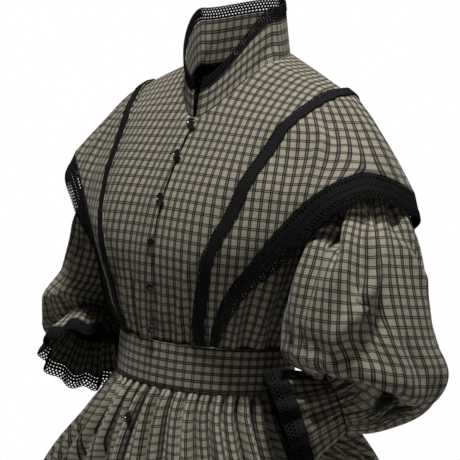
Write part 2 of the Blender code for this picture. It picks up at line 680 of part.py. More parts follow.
def build():
    remove_startup_objects()
    dress = bpy.data.collections.new("checked_dress")
    bpy.context.scene.collection.children.link(dress)
    check = cloth_material("checked cotton", (0.30, 0.28, 0.22), 0.85)
    black = cloth_material("black lace", (0.012, 0.012, 0.014), 0.80)
    jet = cloth_material("black button", (0.010, 0.010, 0.012), 0.25)

    for side, word in ((1, "left"), (-1, "right")):
        cloth_wall(f"bodice_front_{word}", front_panel(side), 10, 13, CLOTH, check, dress)
        cloth_wall(f"wing_{word}", wing_turned(side), 26, 4, CLOTH, check, dress)
        cloth_wall(f"seam_lace_{word}", seam_lace(side), 26, 2, LACE, black, dress)
        cloth_wall(f"edge_lace_{word}", edge_lace(side), 30, 1, LACE, black, dress)
        for part, start in (("top", 0), ("under", 0.5)):
            half = (start + SLEEVE_SEAM, start + 0.5 - SLEEVE_SEAM)
            form = sleeve_turned(side)
            cloth_wall(f"{part}_sleeve_{word}", form, 20, 11, CLOTH, check, dress, half)
        reach, waves = (ELASTIC_REACH, FRILL_REACH), (0, FRILL_WAVE)
        flare = frill(side, FRILL_GAP, FRILL_LENGTH, reach, waves)
        cloth_wall(f"cuff_frill_{word}", flare, 40, 2, THIN_CLOTH, check, dress, tube=True)
        reach, waves = (FRILL_REACH, CUFF_LACE_REACH), (FRILL_WAVE, FRILL_WAVE)
        edging = frill(side, FRILL_GAP + FRILL_LENGTH + SEAM_GAP, CUFF_LACE_LENGTH, reach, waves)
        cloth_wall(f"cuff_lace_{word}", edging, 40, 1, LACE, black, dress, tube=True)
    cloth_wall("bodice_back", back_panel, 18, 13, CLOTH, check, dress)
    cloth_wall("collar", collar, 26, 2, COLLAR_CLOTH, check, dress)
    cloth_wall("collar_lace", collar_lace, 26, 1, LACE, black, dress)
    cloth_wall("waistband", band, 40, 1, BAND_CLOTH, check, dress, tube=True)

    gores = (("front_left", 0.0), ("back_left", 0.25), ("back_right", 0.5), ("front_right", 0.75))
    for word, start in gores:
        half_gap = 0.0004
        between = (start + half_gap, start + 0.25 - half_gap)
        cloth_wall(f"skirt_{word}", skirt, 48, 6, THIN_CLOTH, check, dress, between)

    lapped = front_panel(-1)

    def front_edge(u, v):
        return lapped(1 - u, v)

    for number, level in enumerate(BUTTON_LEVELS, 1):
        on, rows = (front_edge, 13) if level > BODICE_END else (skirt, 6)
        button(f"button_{number}", level, on, rows, jet, dress)


if __name__ == "__main__":
    build()
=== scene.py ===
import math

import bmesh
import bpy
import numpy as np
from mathutils import Matrix, Vector


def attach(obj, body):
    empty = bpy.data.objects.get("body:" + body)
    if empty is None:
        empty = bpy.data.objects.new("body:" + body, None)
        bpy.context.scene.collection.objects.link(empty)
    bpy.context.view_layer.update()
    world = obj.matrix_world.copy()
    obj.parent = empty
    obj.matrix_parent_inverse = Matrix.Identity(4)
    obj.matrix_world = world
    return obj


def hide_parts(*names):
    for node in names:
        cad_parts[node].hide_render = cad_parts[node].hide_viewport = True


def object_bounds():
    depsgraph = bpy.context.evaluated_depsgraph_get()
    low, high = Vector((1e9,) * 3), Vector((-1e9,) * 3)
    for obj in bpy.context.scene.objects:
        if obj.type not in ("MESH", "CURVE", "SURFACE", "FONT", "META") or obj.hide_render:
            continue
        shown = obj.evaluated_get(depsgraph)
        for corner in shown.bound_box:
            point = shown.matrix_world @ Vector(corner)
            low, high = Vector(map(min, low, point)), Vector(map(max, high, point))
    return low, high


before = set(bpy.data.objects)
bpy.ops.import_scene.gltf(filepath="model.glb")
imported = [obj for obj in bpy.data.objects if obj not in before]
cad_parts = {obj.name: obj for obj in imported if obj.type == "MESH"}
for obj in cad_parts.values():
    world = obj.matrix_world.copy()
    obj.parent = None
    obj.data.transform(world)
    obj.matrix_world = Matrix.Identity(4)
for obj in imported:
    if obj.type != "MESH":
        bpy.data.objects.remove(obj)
CAD_BOX = [list(corner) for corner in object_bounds()]

# Studio. The dress stands alone over a plain pale floor, on white, in the light of one soft box high
# in front of it and of two weak ones at its left side and behind it. It is seen close up from its
# left front, with the camera level with the chest and tipped a little to one side.
CAMERA_AZIMUTH = math.radians(35.822)
CAMERA_RISE = math.radians(3.897)
CAMERA_ROLL = math.radians(5.638)
CAMERA_DISTANCE = 1.39
CAMERA_LENS = 82.185
LOOK_ASIDE = 0.007
LOOK_LEVEL = -0.228
FLOOR_RADIUS = 2.4
FLOOR_DROP = 0.004
# Lamps: name, place, what it points at, size and power in watts.
LAMPS = (
    ("key_box", (0.36, -0.92, 2.62), (0.05, 0.0, -0.25), 0.40, 88),
    ("side_box", (1.90, -1.60, 0.90), (0.1, 0.0, -0.30), 1.0, 1.8),
    ("back_box", (2.00, 1.10, 1.60), (0.1, 0.0, -0.30), 1.2, 8),
)
AMBIENT = 0.017

scene = bpy.context.scene
scene.view_settings.view_transform = "Standard"

away = Vector((
    math.sin(CAMERA_AZIMUTH) * math.cos(CAMERA_RISE),
    -math.cos(CAMERA_AZIMUTH) * math.cos(CAMERA_RISE),
    math.sin(CAMERA_RISE),
))
aside = Vector((math.cos(CAMERA_AZIMUTH), math.sin(CAMERA_AZIMUTH), 0))
upward = away.cross(aside)
turned_aside = math.cos(CAMERA_ROLL) * aside + math.sin(CAMERA_ROLL) * upward
turned_up = -math.sin(CAMERA_ROLL) * aside + math.cos(CAMERA_ROLL) * upward
looked_at = aside * LOOK_ASIDE + Vector((0, 0, LOOK_LEVEL))

camera = bpy.data.objects.new("camera", bpy.data.cameras.new("camera"))
camera.data.lens = CAMERA_LENS
camera.data.sensor_width = 36
camera.matrix_world = Matrix.Translation(looked_at + away * CAMERA_DISTANCE) @ (
    Matrix((turned_aside, turned_up, away)).transposed().to_4x4()
)
scene.collection.objects.link(camera)
scene.camera = camera

for name, place, towards, size, watts in LAMPS:
    lamp = bpy.data.objects.new(name, bpy.data.lights.new(name, "AREA"))
    lamp.data.size = size
    lamp.data.energy = watts
    lamp.location = place
    lamp.rotation_euler = (Vector(place) - Vector(towards)).to_track_quat("Z", "Y").to_euler()
    scene.collection.objects.link(lamp)

world = bpy.data.worlds.new("studio")
world.use_nodes = True
scene.world = world
surround = world.node_tree.nodes["Background"]
surround.inputs["Color"].default_value = (0.93, 0.96, 1.0, 1)
surround.inputs["Strength"].default_value = AMBIENT
white = world.node_tree.nodes.new("ShaderNodeBackground")
white.inputs["Color"].default_value = (1, 1, 1, 1)
seen = world.node_tree.nodes.new("ShaderNodeLightPath")
blend = world.node_tree.nodes.new("ShaderNodeMixShader")
link = world.node_tree.links.new
link(seen.outputs["Is Camera Ray"], blend.inputs[0])
link(surround.outputs[0], blend.inputs[1])
link(white.outputs[0], blend.inputs[2])
link(blend.outputs[0], world.node_tree.nodes["World Output"].inputs[0])

bm = bmesh.new()
bmesh.ops.create_circle(bm, cap_ends=True, segments=96, radius=FLOOR_RADIUS)
bmesh.ops.translate(bm, verts=bm.verts, vec=(0, 0, CAD_BOX[0][2] - FLOOR_DROP))
floor_mesh = bpy.data.meshes.new("floor")
bm.to_mesh(floor_mesh)
bm.free()
floor = bpy.data.objects.new("floor", floor_mesh)
scene.collection.objects.link(floor)
painted = bpy.data.materials.new("pale painted floor")
painted.use_nodes = True
painted.node_tree.nodes["Principled BSDF"].inputs["Base Color"].default_value = (0.88, 0.88, 0.87, 1)
painted.node_tree.nodes["Principled BSDF"].inputs["Roughness"].default_value = 0.7
floor_mesh.materials.append(painted)

# Bodice fronts. Two panels of checked cotton, a fine yarn-dyed plain weave in greyish khaki with
# pairs of black threads each way, cut with the warp upright. The right front laps over the left,
# and both are eased into the waist seam in small upright folds.
SHEER = 0.0009
STEP = 1e-4
BODICE_END = -0.3646
NECK_HALF = 0.060
NECK_MIDDLE = -0.008
NECK_DEPTH = 0.080
NECK_FRONT_LEVEL = -0.088
NECK_SIDE_LEVEL = -0.004
NECK_BACK_LEVEL = 0.020
NECK_START = 3
NECK_SEAM = 125
NECK_POINT = 0.22
NECK_CROWD = 1.3
LAP_UNDER = -0.009
LAP_OVER = 0.005
LAP_RAMP = 0.030
LAP_RISE = 0.0048
LAP_FADE = (0.78, 0.86)
# The half panels, row by row up from the waist: the middle edge, the outer edge, and how round the
# cloth goes from one to the other. The neck's angles are degrees round from the centre front.
PANEL_COLUMNS = ("up", "in_y", "in_z", "out_x", "out_y", "out_z", "round")
FRONT_ROWS = (
    (0.00, -0.128, BODICE_END, 0.117, 0.000, BODICE_END, 1.00),
    (0.18, -0.138, -0.315, 0.131, 0.000, -0.315, 1.00),
    (0.37, -0.146, -0.252, 0.151, -0.001, -0.257, 1.00),
    (0.50, -0.139, -0.200, 0.160, -0.004, -0.205, 0.97),
    (0.62, -0.124, -0.158, 0.158, -0.044, -0.158, 0.85),
    (0.74, -0.100, -0.110, 0.158, -0.050, -0.112, 0.75),
    (0.80, -0.088, -0.088, 0.162, -0.046, -0.092, 0.70),
    (0.90, -0.060, -0.050, 0.175, -0.022, -0.068, 0.40),
    (1.00, 0.038, 0.009, 0.183, 0.006, -0.052, 0.12),
)
NECK_PIT = 0.80
ROWS_BELOW = 8 / 13
NAPE = 0.88
BUST_SWELL = 0.022
BUST_X = 0.090
BUST_LEVEL = -0.205
BUST_WIDE = 0.055
BUST_HIGH = 0.095
BUST_FALL = 0.140
WAIST_FOLDS = 11
WAIST_FOLD_DEPTH = 0.0012
WAIST_FOLD_REACH = 0.45
# Near the waist the flat cloth is wider than the panel by WAIST_EASE, up to WAIST_EASE_REACH of it.
WAIST_EASE = 0.30
WAIST_EASE_REACH = 0.22
# The levels between which the warp turns from upright to lying back over the shoulder.
FRONT_TURN = (-0.13, 0.0)
# Folds: a line through places on the panel, its height (below 0 a trough) and its width.
# All of their heights are multiplied by FRONT_FOLD_DEPTH.
FRONT_FOLD_DEPTH = 1.7
LEFT_FRONT_FOLDS = (
    (((0.05, 0.00), (0.06, 0.08), (0.08, 0.17)), -0.0016, 0.0034),
    (((0.10, 0.00), (0.11, 0.10), (0.14, 0.22)), 0.0016, 0.0036),
    (((0.16, 0.00), (0.17, 0.09), (0.19, 0.16)), -0.0018, 0.0034),
    (((0.21, 0.00), (0.23, 0.13), (0.27, 0.27)), 0.0021, 0.0040),
    (((0.255, 0.00), (0.275, 0.12), (0.31, 0.24)), -0.0022, 0.0036),
    (((0.285, 0.03), (0.329, 0.197), (0.365, 0.30)), 0.0020, 0.0040),
    (((0.42, 0.00), (0.451, 0.08), (0.473, 0.19)), -0.0026, 0.0050),
    (((0.56, 0.00), (0.57, 0.12), (0.575, 0.28)), 0.0030, 0.0070),
    (((0.64, 0.00), (0.645, 0.14), (0.655, 0.33)), -0.0034, 0.0060),
    (((0.74, 0.00), (0.735, 0.16), (0.74, 0.30)), 0.0034, 0.0075),
    (((0.83, 0.00), (0.82, 0.13), (0.83, 0.36)), -0.0030, 0.0060),
)
RIGHT_FRONT_FOLDS = (
    (((0.94, 0.00), (0.944, 0.09), (0.935, 0.18)), -0.0015, 0.0034),
    (((0.90, 0.00), (0.895, 0.11), (0.875, 0.21)), 0.0018, 0.0038),
    (((0.85, 0.00), (0.856, 0.12), (0.83, 0.24)), -0.0021, 0.0036),
    (((0.79, 0.00), (0.78, 0.10), (0.75, 0.19)), 0.0018, 0.0040),
    (((0.74, 0.00), (0.73, 0.15), (0.69, 0.29)), -0.0020, 0.0040),
    (((0.60, 0.00), (0.59, 0.12), (0.56, 0.25)), 0.0026, 0.0060),
    (((0.44, 0.00), (0.43, 0.14), (0.43, 0.27)), 0.0030, 0.0070),
    (((0.33, 0.00), (0.34, 0.16), (0.33, 0.34)), -0.0032, 0.0060),
    (((0.22, 0.00), (0.23, 0.12), (0.22, 0.29)), 0.0030, 0.0070),
)
GROUND = (0.368, 0.336, 0.246)
WARP_REPEAT = 0.0104
WEFT_REPEAT = 0.0116
# The dyed threads across one repeat: where each band ends, in metres, and how much it darkens.
WARP_BANDS = (
    (0.00080, (1.0, 1.0, 1.0)),
    (0.00205, (0.010, 0.012, 0.022)),
    (0.00360, (0.46, 0.41, 0.37)),
    (0.00485, (0.010, 0.012, 0.022)),
    (0.01040, (1.0, 1.0, 1.0)),
)
WEFT_BANDS = (
    (0.00080, (1.0, 1.0, 1.0)),
    (0.00195, (0.070, 0.078, 0.105)),
    (0.00345, (0.66, 0.63, 0.60)),
    (0.00460, (0.070, 0.078, 0.105)),
    (0.01160, (1.0, 1.0, 1.0)),
)
BAND_BLUR = 0.00014


def column(columns, rows, name):
    return np.array([row[columns.index(name)] for row in rows], float)


def smooth(places, values, where):
    """A curve with no overshoot through values at places, read at where."""
    span = np.diff(places)
    slope = np.diff(values) / span
    lean = np.zeros(len(values))
    same = slope[:-1] * slope[1:] > 0
    mean = 2 * slope[:-1] * slope[1:] / np.where(same, slope[:-1] + slope[1:], 1)
    lean[1:-1] = np.where(same, mean, 0)
    lean[0], lean[-1] = slope[0], slope[-1]
    at = np.clip(np.searchsorted(places, where) - 1, 0, len(span) - 1)
    t = np.clip((where - places[at]) / span[at], 0, 1)
    start, end = values[at], values[at + 1]
    return (
        start * (1 + 2 * t) * (1 - t) ** 2
        + end * t * t * (3 - 2 * t)
        + span[at] * (lean[at] * t * (1 - t) ** 2 - lean[at + 1] * t * t * (1 - t))
    )


def read(columns, rows, name, where):
    return smooth(column(columns, rows, columns[0]), column(columns, rows, name), where)


def ease(start, end, value):
    t = np.clip((value - start) / (end - start), 0, 1)
    return t * t * (3 - 2 * t)


def stack(x, y, z):
    return np.stack(np.broadcast_arrays(x, y, z), -1).astype(float)


def unit(vectors):
    return vectors / np.maximum(np.linalg.norm(vectors, axis=-1, keepdims=True), 1e-12)


def normals(form, u, v):
    """Which way form's surface faces: the side from which u runs left to right and v runs up."""
    before_u, after_u = np.maximum(u - STEP, 0), np.minimum(u + STEP, 1)
    before_v, after_v = np.maximum(v - STEP, 0), np.minimum(v + STEP, 1)
    along_u = form(after_u, v) - form(before_u, v)
    along_v = form(u, after_v) - form(u, before_v)
    return unit(np.cross(along_u, along_v))


def neck_ring(angle):
    """The neckline, from the centre front (angle 0) round the wearer's left side."""
    forward = np.cos(angle)
    front_drop = (NECK_SIDE_LEVEL - NECK_FRONT_LEVEL) * np.clip(forward, 0, 1) ** 1.5
    back_rise = (NECK_BACK_LEVEL - NECK_SIDE_LEVEL) * np.clip(-forward, 0, 1) ** 1.2
    level = NECK_SIDE_LEVEL - front_drop + back_rise
    x = NECK_HALF * np.sin(angle) * (1 - NECK_POINT * np.clip(forward, 0, 1))
    return stack(x, NECK_MIDDLE - NECK_DEPTH * forward, level)


def half_panel(rows, u, v):
    """A point of the half front or half back, before its folds."""
    value = {name: read(PANEL_COLUMNS, rows, name, v) for name in PANEL_COLUMNS[1:]}
    start, begin = (NECK_PIT, NECK_START) if rows is FRONT_ROWS else (NAPE, 180 - NECK_START)
    share = np.clip((v - start) / (1 - start), 0, 1) ** NECK_CROWD
    neckline = neck_ring(np.radians(begin + (NECK_SEAM - begin) * share))
    middle = stack(0 * v, value["in_y"], value["in_z"])
    inner = np.where((v > start)[..., None], neckline, middle)
    outer = stack(value["out_x"], value["out_y"], value["out_z"])
    quarter = u * math.pi / 2
    over = value["round"] * np.sin(quarter) + (1 - value["round"]) * u
    back = value["round"] * (1 - np.cos(quarter)) + (1 - value["round"]) * u
    return inner + (outer - inner) * np.stack([over, back, u], -1)


def waist_folds(u, v):
    """Small uneven folds that fade upward from the waist seam."""
    fade = 1 - ease(0, WAIST_FOLD_REACH * (0.75 + 0.25 * np.sin(23 * u + 1)), v)
    inside = ease(0.0, 0.12, u) * (1 - ease(0.9, 1.0, u))
    count = 2 * math.pi * WAIST_FOLDS * u + 0.8 * np.sin(9 * u + 0.5) + 0.5 * np.sin(21 * u)
    return WAIST_FOLD_DEPTH * fade * inside * np.cos(count)


def front_half(u, v):
    """The left front from the centre (u 0) to the side seam or armhole (u 1), waist (v 0) up."""
    point = half_panel(FRONT_ROWS, u, v)
    off_x = (point[..., 0] - BUST_X) / BUST_WIDE
    above = point[..., 2] - BUST_LEVEL
    off_z = above / np.where(above > 0, BUST_HIGH, BUST_FALL)
    swell = BUST_SWELL * np.exp(-(off_x**2) - off_z**2)
    fade = ease(-0.02, 0.13, v) * (1 - ease(0.8, 1.0, u))
    point[..., 1] -= swell * fade + waist_folds(u, v)
    return point


def panel_row(v):
    """How far up the panel a row lies: rows are closer together above the neck pit."""
    below = v * NECK_PIT / ROWS_BELOW
    above = NECK_PIT + (v - ROWS_BELOW) * (1 - NECK_PIT) / (1 - ROWS_BELOW)
    return np.where(v < ROWS_BELOW, below, above)


def mirrored(points, side):
    """Side 1 is the wearer's left, as modelled, and -1 the wearer's right."""
    return points * np.array([side, 1, 1])


def front_panel(side):
    """A front with its lap: u runs from the wearer's right to left, so that it faces forward."""

    def form(u, v):
        across = u if side > 0 else 1 - u
        up = panel_row(v)
        point = front_half(across, up)
        edge = LAP_UNDER if side > 0 else -LAP_OVER
        lap = (1 - across) ** 6 * (1 - ease(*LAP_FADE, up))
        point[..., 0] += edge * lap
        if side < 0:
            rise = 1 - ease(-LAP_UNDER, LAP_RAMP, point[..., 0])
            point[..., 1] -= LAP_RISE * rise * (1 - ease(*LAP_FADE, up))
        return mirrored(point, side)

    return form


def fold_shift(form, points, folds):
    """How far each point of a cloth is pushed outward by the folds laid on its form."""
    shift = np.zeros(points.shape[:-1])
    share = np.linspace(0, 1, 40)
    for line, height, width in folds:
        marks = np.linspace(0, 1, len(line))
        places = [smooth(marks, np.array(line, float)[:, k], share) for k in (0, 1)]
        near, at = np.full(shift.shape, 9.0), np.zeros(shift.shape)
        for part, spot in zip(share, form(*places)):
            gap = np.linalg.norm(points - spot, axis=-1)
            closer = gap < near
            near[closer], at[closer] = gap[closer], part
        taper = np.sin(math.pi * (0.14 + 0.80 * at)) ** 0.8
        shift += height * taper * np.exp(-((near / width) ** 2))
    return shift


def chain(count):
    """The matrix of a row of points that each pull on their neighbours."""
    pull = 2 * np.eye(count) - np.eye(count, k=1) - np.eye(count, k=-1)
    pull[0, 0] = pull[-1, -1] = 1
    return pull


def panel_grain(points, outward, upright, squeeze=None):
    """Places on the flat cloth, in metres, for a grid of points: each step of the grid is measured
    along the weft and along the warp, which follows upright, and the steps are then evened out."""
    warp = unit(upright - outward * (upright * outward).sum(-1, keepdims=True))
    weft = np.cross(warp, outward)
    ways = (weft, warp)
    along_u, along_v = np.diff(points, axis=0), np.diff(points, axis=1)
    step_u = np.stack([(along_u * unit(w[1:] + w[:-1])).sum(-1) for w in ways], -1)
    step_v = np.stack([(along_v * unit(w[:, 1:] + w[:, :-1])).sum(-1) for w in ways], -1)
    if squeeze is not None:
        step_u[..., 0] *= squeeze
    uneven = np.zeros(points.shape[:2] + (2,))
    uneven[1:] += step_u
    uneven[:-1] -= step_u
    uneven[:, 1:] += step_v
    uneven[:, :-1] -= step_v
    (stiff_u, modes_u), (stiff_v, modes_v) = (np.linalg.eigh(chain(n)) for n in points.shape[:2])
    stiffness = stiff_u[:, None] + stiff_v[None, :]
    stiffness[0, 0] = 1
    parts = np.einsum("ia,ijk,jb->abk", modes_u, uneven, modes_v) / stiffness[..., None]
    parts[0, 0] = 0
    return np.einsum("ia,abk,jb->ijk", modes_u, parts, modes_v)


def lay_cloth(name, form, across, up, grain_of, nodes, material, between=(0, 1), tube=False,
              folds=(), calm=0.0, thick=SHEER):
    """A sheet of cloth laid on a form with its folds, with a UV map of its flat cut in metres.

    Between is the stretch of u that it covers. A tube closes on itself along u. Within calm of
    its lower edge the cloth has no folds.
    """
    bm = bmesh.new()
    bmesh.ops.create_grid(bm, x_segments=across, y_segments=up, size=0.5)
    line_u = between[0] + (between[1] - between[0]) * np.linspace(0, 1, across + 1)
    u, v = np.meshgrid(line_u, np.linspace(0, 1, up + 1), indexing="ij")
    points = form(u, v)
    outward = normals(form, u, v)
    shift = fold_shift(form, points, folds)
    if calm:
        shift *= ease(calm, 2 * calm, np.linalg.norm(points - points[:, :1], axis=-1))
    points = points + shift[..., None] * outward
    grain = grain_of(u, v, points, outward)
    place = {}
    for vert in bm.verts:
        place[vert] = (round((vert.co.x + 0.5) * across), round((vert.co.y + 0.5) * up))
    cut = bm.loops.layers.uv.new("cloth")
    for face in bm.faces:
        for loop in face.loops:
            loop[cut].uv = grain[place[loop.vert]]
    for vert, spot in place.items():
        vert.co = points[spot]
    if tube:
        start = {at[1]: vert for vert, at in place.items() if at[0] == 0}
        end = {vert: start[at[1]] for vert, at in place.items() if at[0] == across}
        bmesh.ops.weld_verts(bm, targetmap=end)
    bm.normal_update()
    mesh = bpy.data.meshes.new(name)
    bm.to_mesh(mesh)
    bm.free()
    mesh.materials.append(material)
    mesh.shade_smooth()
    piece = bpy.data.objects.new(name, mesh)
    scene.collection.objects.link(piece)
    wall = piece.modifiers.new("cloth thickness", "SOLIDIFY")
    wall.thickness = thick
    wall.offset = -1
    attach(piece, "root")
    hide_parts(*nodes)
    return piece


def thread_bands(tree, distance, repeat, bands):
    """The colours of the dyed threads along one direction of the weave."""
    count = tree.nodes.new("ShaderNodeMath")
    count.operation = "DIVIDE"
    count.inputs[1].default_value = repeat
    part = tree.nodes.new("ShaderNodeMath")
    part.operation = "FRACT"
    ramp = tree.nodes.new("ShaderNodeValToRGB")
    tree.links.new(distance, count.inputs[0])
    tree.links.new(count.outputs[0], part.inputs[0])
    tree.links.new(part.outputs[0], ramp.inputs[0])
    stops, begin = [], 0.0
    for end, colour in bands:
        stops += [((begin + BAND_BLUR) / repeat, colour), ((end - BAND_BLUR) / repeat, colour)]
        begin = end
    ramp.color_ramp.elements[0].position = 0
    ramp.color_ramp.elements[0].color = (*bands[0][1], 1)
    ramp.color_ramp.elements[1].position = 1
    ramp.color_ramp.elements[1].color = (*bands[-1][1], 1)
    for at, colour in stops:
        ramp.color_ramp.elements.new(at).color = (*colour, 1)
    return ramp.outputs["Color"]


def yarn_noise(tree, vector, scale, detail=2.0):
    """Uneven yarn: noise drawn out along the threads."""
    stretch = tree.nodes.new("ShaderNodeMapping")
    stretch.inputs["Scale"].default_value = scale
    noise = tree.nodes.new("ShaderNodeTexNoise")
    noise.inputs["Scale"].default_value = 1.0
    noise.inputs["Detail"].default_value = detail
    tree.links.new(vector, stretch.inputs["Vector"])
    tree.links.new(stretch.outputs["Vector"], noise.inputs["Vector"])
    return noise.outputs["Fac"]


def mixed(tree, kind, first, second, share=1.0):
    mix = tree.nodes.new("ShaderNodeMix")
    mix.data_type = "RGBA"
    mix.blend_type = kind
    mix.inputs["Factor"].default_value = share
    for value, end in ((first, mix.inputs[6]), (second, mix.inputs[7])):
        if isinstance(value, tuple):
            end.default_value = (*value, 1)
        else:
            tree.links.new(value, end)
    return mix.outputs[2]


def checked_cloth(name):
    """Matte plain-weave cotton: dyed warp and weft bands, uneven yarn and a soft bump of threads."""
    material = bpy.data.materials.new(name)
    material.use_nodes = True
    tree = material.node_tree
    shader = tree.nodes["Principled BSDF"]
    cut = tree.nodes.new("ShaderNodeUVMap")
    cut.uv_map = "cloth"
    flat = tree.nodes.new("ShaderNodeSeparateXYZ")
    tree.links.new(cut.outputs["UV"], flat.inputs["Vector"])
    warp_yarn = yarn_noise(tree, cut.outputs["UV"], (2600, 190, 1))
    weft_yarn = yarn_noise(tree, cut.outputs["UV"], (190, 2600, 1))
    worn = yarn_noise(tree, cut.outputs["UV"], (9, 7, 1), 3.0)
    warp = thread_bands(tree, flat.outputs["X"], WARP_REPEAT, WARP_BANDS)
    weft = thread_bands(tree, flat.outputs["Y"], WEFT_REPEAT, WEFT_BANDS)
    dyed = mixed(tree, "MULTIPLY", mixed(tree, "MULTIPLY", GROUND, warp), weft)
    shades = []
    for source, low, high in ((warp_yarn, 0.80, 1.20), (weft_yarn, 0.82, 1.18), (worn, 0.90, 1.10)):
        level = tree.nodes.new("ShaderNodeMapRange")
        level.inputs["From Min"].default_value = 0.3
        level.inputs["From Max"].default_value = 0.7
        level.inputs["To Min"].default_value = low
        level.inputs["To Max"].default_value = high
        tree.links.new(source, level.inputs["Value"])
        shades.append(level.outputs["Result"])
    for shade in shades:
        dyed = mixed(tree, "MULTIPLY", dyed, shade)
    tree.links.new(dyed, shader.inputs["Base Color"])
    threads = tree.nodes.new("ShaderNodeMath")
    threads.operation = "ADD"
    tree.links.new(warp_yarn, threads.inputs[0])
    tree.links.new(weft_yarn, threads.inputs[1])
    bump = tree.nodes.new("ShaderNodeBump")
    bump.inputs["Strength"].default_value = 0.35
    bump.inputs["Distance"].default_value = 0.0003
    tree.links.new(threads.outputs[0], bump.inputs["Height"])
    tree.links.new(bump.outputs["Normal"], shader.inputs["Normal"])
    shader.inputs["Roughness"].default_value = 0.88
    shader.inputs["Sheen Weight"].default_value = 0.12
    shader.inputs["Sheen Roughness"].default_value = 0.5
    return material


cotton = checked_cloth("checked cotton")


def front_grain(side):
    """The warp stands upright and turns over the shoulder; the check meets at the centre front."""

    def grain_of(u, v, points, outward):
        turn = ease(*FRONT_TURN, points[..., 2]) * math.pi / 2
        upright = stack(0 * u, np.sin(turn), np.cos(turn))
        below = 1 - ease(0.0, WAIST_EASE_REACH, v)
        squeeze = 1 + WAIST_EASE * (below[1:] + below[:-1]) / 2
        grain = panel_grain(points, outward, upright, squeeze)
        centre = (0, 0) if side > 0 else (-1, 0)
        return grain - grain[centre] + np.array([points[centre][0], 0.0])

    return grain_of


for side, word, folds in ((1, "left", LEFT_FRONT_FOLDS), (-1, "right", RIGHT_FRONT_FOLDS)):
    folds = [(line, FRONT_FOLD_DEPTH * height, width) for line, height, width in folds]
    lay_cloth(f"cotton_front_{word}", front_panel(side), 80, 100, front_grain(side),
              [f"bodice_front_{word}"], cotton, folds=folds)

# Bodice back. One panel of the same cotton, eased a little over the shoulder blades and taken into
# the waist seam in small folds.
BACK_TURN = (-0.10, 0.02)
BACK_ROWS = (
    (0.00, 0.079, BODICE_END, 0.117, 0.000, BODICE_END, 1.00),
    (0.18, 0.086, -0.315, 0.131, 0.000, -0.315, 1.00),
    (0.37, 0.098, -0.252, 0.151, 0.001, -0.257, 1.00),
    (0.50, 0.105, -0.195, 0.160, 0.004, -0.205, 0.97),
    (0.62, 0.106, -0.140, 0.165, 0.050, -0.155, 0.80),
    (0.74, 0.100, -0.080, 0.167, 0.058, -0.110, 0.65),
    (0.82, 0.085, -0.025, 0.171, 0.048, -0.088, 0.50),
    (0.88, 0.072, 0.020, 0.175, 0.036, -0.072, 0.30),
    (1.00, 0.038, 0.009, 0.183, 0.006, -0.052, 0.12),
)
BACK_FOLDS = (
    (((0.08, 0.00), (0.09, 0.14), (0.08, 0.30)), 0.0030, 0.0070),
    (((0.17, 0.00), (0.175, 0.12), (0.19, 0.34)), -0.0030, 0.0060),
    (((0.28, 0.00), (0.29, 0.10), (0.31, 0.24)), 0.0026, 0.0055),
    (((0.36, 0.00), (0.365, 0.09), (0.38, 0.19)), -0.0024, 0.0050),
    (((0.44, 0.00), (0.445, 0.11), (0.45, 0.26)), 0.0026, 0.0055),
    (((0.52, 0.00), (0.52, 0.08), (0.525, 0.17)), -0.0024, 0.0046),
    (((0.57, 0.00), (0.57, 0.13), (0.56, 0.30)), 0.0024, 0.0055),
    (((0.66, 0.00), (0.655, 0.10), (0.64, 0.22)), -0.0026, 0.0050),
    (((0.74, 0.00), (0.73, 0.12), (0.71, 0.27)), 0.0028, 0.0060),
    (((0.83, 0.00), (0.83, 0.14), (0.82, 0.33)), -0.0030, 0.0060),
    (((0.92, 0.00), (0.91, 0.12), (0.92, 0.28)), 0.0028, 0.0070),
    (((0.30, 0.44), (0.40, 0.50), (0.52, 0.49)), -0.0022, 0.0130),
)


def back_half(u, v):
    point = half_panel(BACK_ROWS, u, v)
    point[..., 1] += waist_folds(u, v)
    return point


def back_panel(u, v):
    """The whole back, u from the wearer's left to right, so that it faces backward."""
    across = 1 - 2 * u
    point = back_half(np.abs(across), panel_row(v))
    point[..., 0] *= np.sign(across) + (across == 0)
    return point


def back_grain(u, v, points, outward):
    turn = ease(*BACK_TURN, points[..., 2]) * math.pi / 2
    upright = stack(0 * u, -np.sin(turn), np.cos(turn))
    below = 1 - ease(0.0, WAIST_EASE_REACH, v)
    squeeze = 1 + WAIST_EASE * (below[1:] + below[:-1]) / 2
    return panel_grain(points, outward, upright, squeeze)


lay_cloth("cotton_back", back_panel, 120, 90, back_grain, ["bodice_back"], cotton, folds=BACK_FOLDS)

